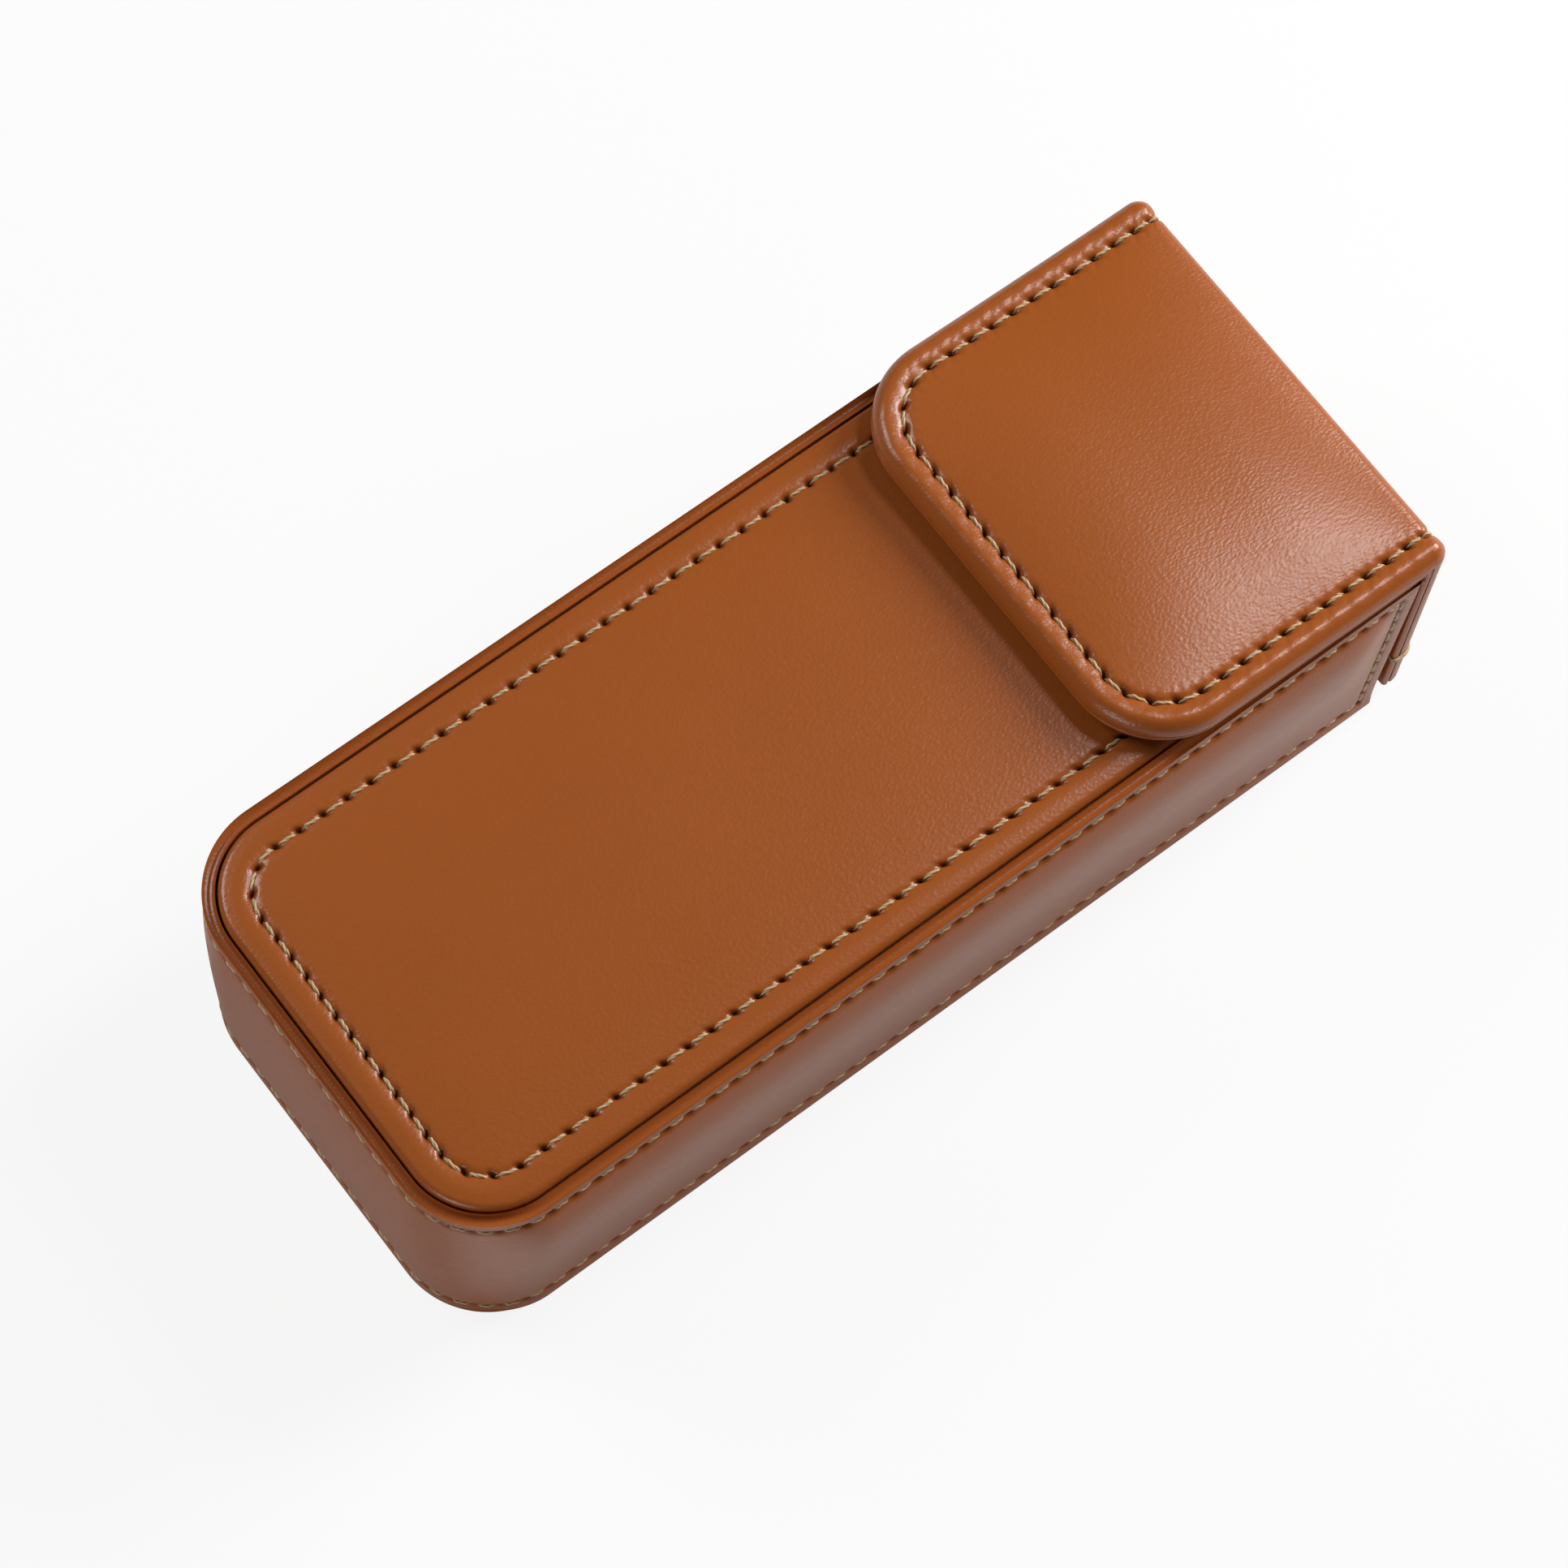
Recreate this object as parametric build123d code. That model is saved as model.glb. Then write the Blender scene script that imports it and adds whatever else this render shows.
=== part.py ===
from build123d import *
import math
import os

# A stiff leather glasses case, closed. X runs from the rounded closed end to the mouth, Y across the
# width, and Z from the back face, on which it rests, up to the front. The origin is the middle of the
# back. All sizes are in millimetres.

# Overall sizes
case_length = 165.0
case_width = 67.2
wall_height = 44.2
end_corner_radius = 13.8

# Sheet materials
skin = 0.9
hem_skin = 0.4
padding = 0.8
board = 1.6
side_board = 2.0
lining = 0.6

# Front and back panels, set inside the turned rim of the wall
panel_clearance = 0.3
panel_sink = 0.2
panel_crown = 0.4
panel_edge_round = 0.8
panel_hem_width = 8.0
rim_round = 0.7
hem_clearance = 0.1
mouth_hem_width = 8.0
lining_clearance = 0.1

# Strap: the spine across the mouth and the flap over the front
strap_padding = 1.0
strap_board = 1.2
strap_lining = 0.7
strap_hem_width = 3.0
strap_edge_flat = 0.1
flap_length = 54.2
flap_corner_radius = 13.5
flap_clearance = 0.4
mouth_clearance = 0.3
fold_radius = 2.5
fold_clearance = 0.3
fold_allowance = 1.5

# Magnetic catch
magnet_diameter = 12.0
magnet_thickness = 1.0
magnet_pocket_clearance = 0.1
magnet_from_flap_edge = 13.0

# Seams
stitch_pitch = 3.7
stitch_gap = 1.1
thread_width = 0.6
thread_height = 0.4
channel_width = 1.2
channel_depth = 0.3
thread_clearance = 0.03
panel_stitch_inset = 4.5
panel_stitch_mouth_radius = 4.0
rim_stitch_drop = 3.1
mouth_stitch_inset = 4.4
flap_stitch_inset = 4.5
tack_height = 13.0
tack_width = 0.6
tack_thickness = 0.35
tack_reach = 3.2
seam_end_margin = 1.0

# How far a cutting solid runs past the face it cuts, and how near two places count as the same
over_cut = 1.0
same_place = 0.01

# Places that follow from the sizes above
closed_x = -case_length / 2
fold_x = case_length / 2
strap_thickness = skin + strap_padding + strap_board + strap_lining
strap_edge_round = (strap_thickness - strap_edge_flat) / 2
spine_inner_x = fold_x - strap_thickness
mouth_x = spine_inner_x - mouth_clearance
panel_thickness = skin + padding + board + hem_skin
panel_inset = 2 * skin + panel_clearance
front_edge_z = wall_height - panel_sink
front_top_z = front_edge_z + panel_crown
front_under_z = front_edge_z - panel_thickness
front_hem_height = wall_height - front_under_z - hem_clearance
back_hem_height = panel_thickness - hem_clearance
flap_under_z = max(wall_height, front_top_z) + flap_clearance
case_height = flap_under_z + strap_thickness
board_inset = skin + side_board
lining_inset = board_inset + lining
flap_edge_x = fold_x - flap_length
magnet_x = flap_edge_x + magnet_from_flap_edge
half_width = case_width / 2
far_beyond = 2 * case_length
mouth_seam_x = mouth_x - mouth_stitch_inset

# Share of a slanting length that counts along each axis when it runs at half a right angle
diagonal_share = math.sqrt(0.5)

part_nodes = {}


def rounded_plan(inset, near_x, end_x, radius, mouth_radius=0.0):
    """Outline seen from the front, inset from the case's width, with two corners rounded at near_x."""
    length = end_x - near_x
    sheet = Pos((near_x + end_x) / 2, 0) * Rectangle(length, case_width - 2 * inset)
    corners = sheet.vertices().sort_by(Axis.X)
    sheet = fillet(corners[:2], radius)
    if mouth_radius > 0:
        sheet = fillet(sheet.vertices().sort_by(Axis.X)[-2:], mouth_radius)
    return sheet


def case_slab(inset, end_x, low_z, high_z):
    """A flat slab with the case's own outline, inset from the wall's outer face."""
    plan = rounded_plan(inset, closed_x + inset, end_x, end_corner_radius - inset)
    return Pos(0, 0, low_z) * extrude(plan, amount=high_z - low_z)


def case_ring(outer_inset, inner_inset, end_x, low_z, high_z):
    """A strip bent round the closed end, open at the mouth."""
    outer = case_slab(outer_inset, end_x, low_z, high_z)
    inner = case_slab(inner_inset, end_x + over_cut, low_z - over_cut, high_z + over_cut)
    return outer - inner


def block(low, high):
    """A box between two corners."""
    size = [high[i] - low[i] for i in range(3)]
    middle = [(high[i] + low[i]) / 2 for i in range(3)]
    return Pos(*middle) * Box(*size)


def both_sides(solid):
    """A solid and its mirror image across the case's length."""
    return solid + mirror(solid, about=Plane.XZ)


# The front panel is crowned: its top is part of a wide cylinder that lies along the case.
panel_half_width = half_width - panel_inset
crown_radius = (panel_half_width ** 2 + panel_crown ** 2) / (2 * panel_crown)


def front_surface(y):
    """Height of the front panel's top at a distance from its middle line."""
    return front_top_z - crown_radius + math.sqrt(crown_radius ** 2 - y ** 2)


def under_crown(depth):
    """Everything at least this far below the crowned top of the front panel."""
    axis_height = front_top_z - crown_radius
    roll = Cylinder(crown_radius - depth, far_beyond, rotation=(0, 90, 0))
    return Pos(0, 0, axis_height) * roll


def stitch_row(path, normal_at):
    """Stitches laid along a path, each standing on the surface with the given normal."""
    count = round(path.length / stitch_pitch)
    step = path.length / count
    stitch = extrude(SlotOverall(step - stitch_gap, thread_width), amount=thread_height)
    row = []
    for number in range(count):
        along = (number + 0.5) * step
        point = path.position_at(along, position_mode=PositionMode.LENGTH)
        heading = path.tangent_at(along, position_mode=PositionMode.LENGTH)
        place = Plane(origin=point, x_dir=heading, z_dir=normal_at(point, heading))
        row.append(place.location * stitch)
    return row


def bent_path(start_x, near_x, side_y, radius, height):
    """Level line that runs along one side, round two corners at near_x and back along the other."""
    corner_x = near_x + radius
    corner_y = side_y - radius
    slack = radius * (1 - diagonal_share)
    first_run = Line((start_x, -side_y, height), (corner_x, -side_y, height))
    first_turn = ThreePointArc(
        (corner_x, -side_y, height),
        (near_x + slack, slack - side_y, height),
        (near_x, -corner_y, height),
    )
    end_run = Line((near_x, -corner_y, height), (near_x, corner_y, height))
    last_turn = ThreePointArc(
        (near_x, corner_y, height),
        (near_x + slack, side_y - slack, height),
        (corner_x, side_y, height),
    )
    last_run = Line((corner_x, side_y, height), (start_x, side_y, height))
    return Wire([first_run, first_turn, end_run, last_turn, last_run])


def keep(name, shape):
    """Record a finished piece under the name of its node."""
    part_nodes[name] = shape


# Wall: a leather band round two sides and the closed end, its edges turned in over themselves
band = case_ring(0, skin, mouth_x, 0, wall_height)
band += case_ring(skin, 2 * skin, mouth_x, wall_height - front_hem_height, wall_height)
band += case_ring(skin, 2 * skin, mouth_x, 0, back_hem_height)

# At the mouth the leather wraps round the end of the side board and is turned back inside
wrap_low = panel_thickness
wrap_high = front_under_z
mouth_wrap = block(
    (mouth_x - skin, half_width - board_inset - hem_skin, wrap_low),
    (mouth_x, half_width - skin / 2, wrap_high),
)
mouth_hem = block(
    (mouth_x - mouth_hem_width, half_width - board_inset - hem_skin, wrap_low),
    (mouth_x - skin / 2, half_width - board_inset, wrap_high),
)
band += both_sides(mouth_wrap + mouth_hem)

# The turned edges are rounded along the front rim, the back rim and the outside of the mouth
rim_edges = [
    edge
    for edge in band.edges()
    if (abs(edge.center().Z - wall_height) < same_place or abs(edge.center().Z) < same_place)
    and edge.bounding_box().size.Z < same_place
    and edge.center().X < mouth_x - same_place
]
band = fillet(rim_edges, rim_round)

# Sewn channels in the band: under the front rim, above the back rim and beside the mouth
seam_end_x = mouth_seam_x + channel_width / 2
for seam_z in (wall_height - rim_stitch_drop, rim_stitch_drop):
    low = seam_z - channel_width / 2
    channel = case_ring(-over_cut, channel_depth, seam_end_x, low, low + channel_width)
    band -= channel
mouth_channel = block(
    (seam_end_x - channel_width, half_width - channel_depth, rim_stitch_drop),
    (seam_end_x, half_width + over_cut, wall_height - rim_stitch_drop),
)
band -= both_sides(mouth_channel)
keep("side_band_leather", band)

keep("side_board", case_ring(skin, board_inset, mouth_x - skin, wrap_low, wrap_high))
lining_end_x = mouth_x - mouth_hem_width
keep("side_lining", case_ring(board_inset, lining_inset, lining_end_x, wrap_low, wrap_high))


# Seams of the band: stitches lie in the channels and face outwards
def outward(point, heading):
    """Level direction that points away from the case, square to a seam that runs round it."""
    side = Vector(heading.Y, -heading.X, 0)
    away = Vector(point.X, point.Y, 0)
    return side if side.dot(away) > 0 else side * -1


thread_inset = channel_depth - thread_clearance
band_seam = (
    mouth_seam_x,
    closed_x + thread_inset,
    half_width - thread_inset,
    end_corner_radius - thread_inset,
)
top_seam = bent_path(*band_seam, wall_height - rim_stitch_drop)
keep("side_top_stitching", stitch_row(top_seam, outward))
keep("side_bottom_stitching", stitch_row(bent_path(*band_seam, rim_stitch_drop), outward))

mouth_seam_low = rim_stitch_drop + channel_width / 2
mouth_seam_high = wall_height - mouth_seam_low
mouth_stitches = []
for side in (-1, 1):
    seam = Line(
        (mouth_seam_x, side * (half_width - thread_inset), mouth_seam_low),
        (mouth_seam_x, side * (half_width - thread_inset), mouth_seam_high),
    )
    mouth_stitches += stitch_row(seam, lambda point, heading: Vector(0, math.copysign(1, point.Y), 0))
keep("side_mouth_stitching", mouth_stitches)


# Front panel: leather wrapped round padding and a board, its edges turned under the board
panel_seam_inset = panel_inset + panel_stitch_inset
seam_low = panel_seam_inset - channel_width / 2
seam_high = panel_seam_inset + channel_width / 2


def panel_seam_plan(inset):
    """Outline of the seam round a panel, closed across the mouth end."""
    end_x = mouth_x - (inset - panel_inset)
    radius = end_corner_radius - inset
    mouth_radius = panel_stitch_mouth_radius + panel_seam_inset - inset
    return rounded_plan(inset, closed_x + inset, end_x, radius, mouth_radius)


def panel_channel(low_z, high_z):
    """Ring-shaped space of the sewn channel round a panel."""
    ring = panel_seam_plan(seam_low) - panel_seam_plan(seam_high)
    return Pos(0, 0, low_z) * extrude(ring, amount=high_z - low_z)


board_low_z = front_under_z + hem_skin
padding_low_z = board_low_z + board
inner_inset = panel_inset + skin
inner_end_x = mouth_x - skin
window_inset = panel_inset + panel_hem_width

front = case_slab(panel_inset, mouth_x, front_under_z, front_top_z) & under_crown(0)
top_edges = [edge for edge in front.edges() if edge.center().Z > front_edge_z - same_place]
front = fillet(top_edges, panel_edge_round)
front_inside = case_slab(inner_inset, inner_end_x, board_low_z, front_top_z) & under_crown(skin)
front -= front_inside
window_end_x = mouth_x - panel_hem_width
front -= case_slab(window_inset, window_end_x, front_under_z - over_cut, board_low_z + same_place)
front -= panel_channel(front_edge_z - skin, front_top_z + over_cut) - under_crown(channel_depth)
keep("front_panel_leather", front)

front_padding = case_slab(inner_inset, inner_end_x, padding_low_z, front_top_z) & under_crown(skin)
keep("front_panel_padding", front_padding)

magnet_pocket_radius = magnet_diameter / 2 + magnet_pocket_clearance
front_board = case_slab(inner_inset, inner_end_x, board_low_z, padding_low_z)
front_magnet_z = padding_low_z - magnet_thickness / 2
front_board -= Pos(magnet_x, 0, front_magnet_z) * Cylinder(magnet_pocket_radius, magnet_thickness)
keep("front_panel_board", front_board)
keep("front_magnet", Pos(magnet_x, 0, front_magnet_z) * Cylinder(magnet_diameter / 2, magnet_thickness))

# The lining covers the turned hem from inside and fills the window that the hem leaves
lining_plug_inset = window_inset + lining_clearance
front_lining = case_slab(lining_inset + lining_clearance, mouth_x, front_under_z - lining, front_under_z)
front_lining += case_slab(
    lining_plug_inset,
    window_end_x - lining_clearance,
    front_under_z - lining / 2,
    board_low_z,
)
keep("front_panel_lining", front_lining)


def up(point, heading):
    """Straight up, for stitches on the front."""
    return Vector(0, 0, 1)


def down(point, heading):
    """Straight down, for stitches on the back."""
    return Vector(0, 0, -1)


panel_path = panel_seam_plan(panel_seam_inset).face().outer_wire()
front_stitches = []
for stitch in stitch_row(panel_path, up):
    seat_z = front_surface(stitch.center().Y) - channel_depth + thread_clearance
    front_stitches.append(Pos(0, 0, seat_z) * stitch)
keep("front_panel_stitching", front_stitches)

# Back panel: the same wrap turned over, flat so that the case rests on it. Its leather runs on past
# the mouth as a tongue that bends up into the spine.
back = case_slab(panel_inset, mouth_x, 0, panel_thickness)
back -= case_slab(inner_inset, mouth_x + over_cut, skin, panel_thickness - hem_skin)
back -= case_slab(window_inset, mouth_x + over_cut, panel_thickness / 2, panel_thickness + over_cut)
back_board_end_x = mouth_x - lining
back -= block(
    (back_board_end_x - hem_clearance, -half_width, skin),
    (mouth_x + over_cut, half_width, panel_thickness + over_cut),
)

# The strap, seen along Y, has rounded outer corners at its two folds
outer_shape = Pos(0, case_height / 2) * Rectangle(case_length, case_height)
outer_shape = fillet(outer_shape.vertices().sort_by(Axis.X)[-2:], fold_radius)
strap_envelope = extrude(Rot(90, 0, 0) * outer_shape, amount=case_width, both=True)


def past_fold(corner_z, away_x, away_z):
    """Space past the slanted cut in the middle of a fold, seen from the piece that ends there."""
    shift = (far_beyond - fold_clearance) / 2 * diagonal_share
    space = Rot(0, 45, 0) * Box(far_beyond, far_beyond, far_beyond)
    return Pos(fold_x + away_x * shift, 0, corner_z + away_z * shift) * space


tongue_half_width = half_width - panel_inset
tongue = block((back_board_end_x - over_cut, -tongue_half_width, 0), (fold_x, tongue_half_width, skin))
tongue = (tongue & strap_envelope) - past_fold(0, 1, 1)
back += tongue
back_channel_depth = thread_height + 2 * thread_clearance
back -= panel_channel(-over_cut, back_channel_depth)
keep("back_panel_leather", back)

back_inner_end_x = back_board_end_x - hem_clearance
keep("back_panel_padding", case_slab(inner_inset, back_inner_end_x, skin, skin + padding))
back_board_high_z = skin + padding + board
keep("back_panel_board", case_slab(inner_inset, back_inner_end_x, skin + padding, back_board_high_z))

# The back lining covers the board, turns down over its end and lines the inside of the tongue
back_lining = case_slab(lining_inset + lining_clearance, mouth_x, panel_thickness, panel_thickness + lining)
back_lining += case_slab(lining_plug_inset, mouth_x, back_board_high_z, panel_thickness + lining / 2)
back_lining += block(
    (back_board_end_x, -tongue_half_width, skin),
    (mouth_x, tongue_half_width, panel_thickness),
)
tongue_lining = block(
    (back_board_end_x, -tongue_half_width, skin),
    (fold_x, tongue_half_width, skin + lining),
)
back_lining += tongue_lining - past_fold(0, 1, 1)
keep("back_panel_lining", back_lining)

back_stitches = []
for stitch in stitch_row(panel_path, down):
    back_stitches.append(Pos(0, 0, back_channel_depth - thread_clearance) * stitch)
keep("back_panel_stitching", back_stitches)


# Spine: the strap's upright part, padded and stiffened, with fully rounded side edges
def spine_section(growth):
    """Outline of the spine seen from above, grown on all sides."""
    thickness = strap_thickness + 2 * growth
    width = case_width + 2 * growth
    middle_x = (spine_inner_x + fold_x) / 2
    return Pos(middle_x, 0) * RectangleRounded(thickness, width, strap_edge_round + growth)


filling_inset = strap_thickness / 2
spine_low_z = strap_thickness + fold_allowance
spine_high_z = case_height - strap_thickness - fold_allowance
lining_face_x = spine_inner_x + strap_lining
board_face_x = lining_face_x + strap_board
filling_half_width = half_width - filling_inset
window_half_width = half_width - strap_hem_width
strap_seam_y = half_width - flap_stitch_inset

spine = extrude(spine_section(0), amount=case_height) & strap_envelope
spine -= past_fold(0, -1, -1)
spine -= past_fold(case_height, -1, 1)
spine -= block(
    (lining_face_x, -filling_half_width, spine_low_z),
    (fold_x - skin, filling_half_width, spine_high_z),
)
spine -= block(
    (spine_inner_x - over_cut, -window_half_width, spine_low_z),
    (lining_face_x, window_half_width, spine_high_z),
)
spine_channel = block(
    (fold_x - channel_depth, strap_seam_y - channel_width / 2, -over_cut),
    (fold_x + over_cut, strap_seam_y + channel_width / 2, case_height + over_cut),
)
spine -= both_sides(spine_channel)
keep("spine_leather", spine)

spine_padding = block(
    (board_face_x, -filling_half_width, spine_low_z),
    (fold_x - skin, filling_half_width, spine_high_z),
)
keep("spine_padding", spine_padding)
spine_board = block(
    (lining_face_x, -filling_half_width, spine_low_z),
    (board_face_x, filling_half_width, spine_high_z),
)
keep("spine_board", spine_board)
spine_lining = block(
    (spine_inner_x, lining_clearance - window_half_width, spine_low_z + lining_clearance),
    (lining_face_x, window_half_width - lining_clearance, spine_high_z - lining_clearance),
)
keep("spine_lining", spine_lining)

spine_stitches = []
seat_x = fold_x - channel_depth + thread_clearance
for side in (-1, 1):
    seam = Line(
        (seat_x, side * strap_seam_y, fold_radius + seam_end_margin),
        (seat_x, side * strap_seam_y, case_height - fold_radius - seam_end_margin),
    )
    spine_stitches += stitch_row(seam, lambda point, heading: Vector(1, 0, 0))
keep("spine_stitching", spine_stitches)

# A short thread tack goes round each rolled edge of the spine
tack_ring = spine_section(tack_thickness + thread_clearance) - spine_section(thread_clearance)
tack = Pos(0, 0, tack_height) * extrude(tack_ring, amount=tack_width)
tack_window = block(
    (fold_x - tack_reach, half_width - filling_inset, 0),
    (fold_x + over_cut, half_width + over_cut, case_height),
)
tack = tack & tack_window
keep("spine_edge_tacks", [tack, mirror(tack, about=Plane.XZ)])


# Flap: the strap's front part, with a rolled edge all round
def flap_plan(inset, end_x):
    """Outline of the flap seen from the front, inset from its edge."""
    return rounded_plan(inset, flap_edge_x + inset, end_x, flap_corner_radius - inset)


def flap_slab(inset, end_x, low_z, high_z):
    """A flat slab with the flap's own outline, inset from its edge."""
    return Pos(0, 0, low_z) * extrude(flap_plan(inset, end_x), amount=high_z - low_z)


over_fold_x = fold_x + 2 * strap_thickness
flap = flap_slab(0, over_fold_x, flap_under_z, case_height)
flap_edges = [
    edge
    for edge in flap.edges()
    if abs(edge.center().Z - case_height) < same_place or abs(edge.center().Z - flap_under_z) < same_place
]
flap = fillet(flap_edges, strap_edge_round)
flap = (flap & strap_envelope) - past_fold(case_height, 1, -1)
flap_filling_end_x = fold_x - strap_thickness - fold_allowance
flap_board_z = flap_under_z + strap_lining
flap_padding_z = flap_board_z + strap_board
flap -= flap_slab(filling_inset, flap_filling_end_x, flap_board_z, case_height - skin)
flap -= flap_slab(strap_hem_width, flap_filling_end_x, flap_under_z - over_cut, flap_board_z + same_place)
flap_channel = flap_plan(flap_stitch_inset - channel_width / 2, over_fold_x)
flap_channel -= flap_plan(flap_stitch_inset + channel_width / 2, over_fold_x + over_cut)
flap -= Pos(0, 0, case_height - channel_depth) * extrude(flap_channel, amount=over_cut)
keep("flap_leather", flap)

keep("flap_padding", flap_slab(filling_inset, flap_filling_end_x, flap_padding_z, case_height - skin))
flap_board = flap_slab(filling_inset, flap_filling_end_x, flap_board_z, flap_padding_z)
flap_magnet_z = flap_board_z + magnet_thickness / 2
flap_board -= Pos(magnet_x, 0, flap_magnet_z) * Cylinder(magnet_pocket_radius, magnet_thickness)
keep("flap_board", flap_board)
keep("flap_magnet", Pos(magnet_x, 0, flap_magnet_z) * Cylinder(magnet_diameter / 2, magnet_thickness))
flap_lining = flap_slab(
    strap_hem_width + lining_clearance,
    flap_filling_end_x - lining_clearance,
    flap_under_z,
    flap_board_z,
)
keep("flap_lining", flap_lining)

flap_seam_z = case_height - channel_depth + thread_clearance
flap_path = bent_path(
    fold_x - fold_radius - seam_end_margin,
    flap_edge_x + flap_stitch_inset,
    strap_seam_y,
    flap_corner_radius - flap_stitch_inset,
    flap_seam_z,
)
keep("flap_stitching", stitch_row(flap_path, up))

os.makedirs("parts", exist_ok=True)
for name, shape in part_nodes.items():
    if isinstance(shape, list):
        shape = Compound(children=shape)
    export_step(shape, f"parts/{name}.step")
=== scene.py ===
import functools
import math

import bmesh
import bpy
import numpy as np
from bpy.props import FloatProperty, FloatVectorProperty, PointerProperty
from mathutils import Matrix, Vector


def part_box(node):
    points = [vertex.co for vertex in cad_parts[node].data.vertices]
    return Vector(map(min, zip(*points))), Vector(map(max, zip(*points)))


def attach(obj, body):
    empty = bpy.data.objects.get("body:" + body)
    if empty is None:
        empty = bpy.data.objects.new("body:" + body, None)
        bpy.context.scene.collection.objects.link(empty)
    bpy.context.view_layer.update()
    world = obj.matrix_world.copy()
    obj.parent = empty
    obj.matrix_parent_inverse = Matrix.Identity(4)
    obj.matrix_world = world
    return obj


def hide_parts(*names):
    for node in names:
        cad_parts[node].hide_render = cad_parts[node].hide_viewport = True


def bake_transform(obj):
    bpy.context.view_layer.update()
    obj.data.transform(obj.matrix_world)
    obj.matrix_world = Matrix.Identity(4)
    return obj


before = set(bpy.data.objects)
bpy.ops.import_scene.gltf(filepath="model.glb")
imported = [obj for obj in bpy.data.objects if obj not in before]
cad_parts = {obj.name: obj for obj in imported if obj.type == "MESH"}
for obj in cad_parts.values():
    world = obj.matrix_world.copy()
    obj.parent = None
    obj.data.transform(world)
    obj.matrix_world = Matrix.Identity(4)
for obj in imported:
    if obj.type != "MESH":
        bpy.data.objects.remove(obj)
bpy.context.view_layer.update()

bl_info = {
    "name": "Leather glasses case",
    "version": (1, 0, 0),
    "blender": (4, 5, 0),
    "location": "3D View > Sidebar > Glasses case",
    "description": "Sews the leather, padding, threads and linings of a glasses case round its boards",
    "category": "Object",
}

MM = 0.001
RIGHT_ANGLE = math.pi / 2

# Samples of the skin along one stitch, and of the wall, whose stitches show less
STEPS = 12
WALL_STEPS = 8

# Points of a mesh nearer than this are one, in millimetres, and edges sharper than this stay sharp
WELD = 0.002
SHARP_DEGREES = 62

# How far a profile's last row but one is from the middle line, where its two sides meet
BESIDE = 0.6

# A thread's section: points round it, and the plies that are twisted together
THREAD_SIDES = 12
PLIES = 2

# How much deeper the leather and the lining of the bottom fold lie than the back panel's face
FOLD_SUNK = 0.45


def node_box(node):
    """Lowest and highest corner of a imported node, in millimetres."""
    low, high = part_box(node)
    return np.array(low) / MM, np.array(high) / MM


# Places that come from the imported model, in millimetres
(closed_x, _, floor_z), (mouth_x, half_width, rim_z) = node_box("side_band_leather")
(panel_closed_x, _, front_low_z), (_, panel_half_width, front_crown_z) = node_box("front_panel_leather")
(flap_end_x, _, flap_under_z), (_, _, case_top_z) = node_box("flap_leather")
(spine_inner_x, _, _), (fold_x, _, _) = node_box("spine_leather")
(_, _, board_low_z), (_, board_half_width, board_high_z) = node_box("side_board")
(_, _, _), (hem_end_x, _, _) = node_box("side_lining")
(_, _, _), (_, window_half_width, _) = node_box("flap_lining")
panel_inset = half_width - panel_half_width
strap_thickness = fold_x - spine_inner_x
flap_length = fold_x - flap_end_x
strap_lining = node_box("flap_board")[0][2] - flap_under_z


def length(name, description, size):
    """A size property, shown in the scene's length unit and given here in millimetres."""
    return FloatProperty(name=name, description=description, default=size * MM, unit="LENGTH", precision=5)


def srgb(code):
    """Linear colour of an sRGB hex code."""
    parts = [int(code[i : i + 2], 16) / 255 for i in (1, 3, 5)]
    return [c / 12.92 if c <= 0.04045 else ((c + 0.055) / 1.055) ** 2.4 for c in parts]


def colour(name, description, code):
    """A colour property whose default is an sRGB hex code."""
    return FloatVectorProperty(
        name=name, description=description, default=srgb(code), subtype="COLOR", size=3, min=0, max=1
    )


class CaseShape(bpy.types.PropertyGroup):
    """Sizes of the leather that the boards leave free."""

    end_corner: length("End corner", "Radius of the wall at the closed end", 13.8)
    flap_corner: length("Flap corner", "Radius of the flap's two free corners", 13.5)
    mouth_corner: length("Panel corner", "Radius of a panel's corners at the mouth", 1.5)
    fold: length("Fold", "Outer radius of the strap at its two folds", 2.5)
    wall_bulge: length("Wall bulge", "How far the wall swells between its two seams", 1.8)
    panel_bulge: length("Panel swell", "How far the padding lifts the front between its seams", 0.3)
    flap_bulge: length("Flap swell", "How far the padding lifts the middle of the flap", 1.8)
    flap_lift: length("Flap lift", "How far the flap's free end stands up", 1.3)
    spine_lean: length("Spine lean", "How far the foot of the spine stands away from the case", 1.3)
    flap_skew: length("Flap skew", "How far the flap's free end lies towards the far side", 0.1)
    panel_hem: length("Panel hem", "How far the turned leather reaches in under a panel", 8.0)


class CaseSeams(bpy.types.PropertyGroup):
    """Sizes of the seams and their thread."""

    side_stitch: length("Side stitch", "Stitch length on the long sides of a panel", 3.85)
    end_stitch: length("End stitch", "Stitch length round the closed end of a panel", 3.3)
    flap_stitch: length("Flap stitch", "Stitch length on the strap", 3.6)
    wall_stitch: length("Wall stitch", "Stitch length on the wall", 3.7)
    panel_inset: length("Panel seam inset", "From the panel's edge to its seam", 4.5)
    flap_inset: length("Flap seam inset", "From the strap's edge to its seam", 4.2)
    rim_drop: length("Rim seam drop", "From the rim down to the wall's seam", 3.8)
    mouth_inset: length("Mouth seam inset", "From the mouth to the upright seam", 2.9)
    thread: length("Thread", "Thickness of the thread", 0.44)
    tack_height: length("Tack height", "Height of the tacks on the spine's edge", 13.0)


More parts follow.
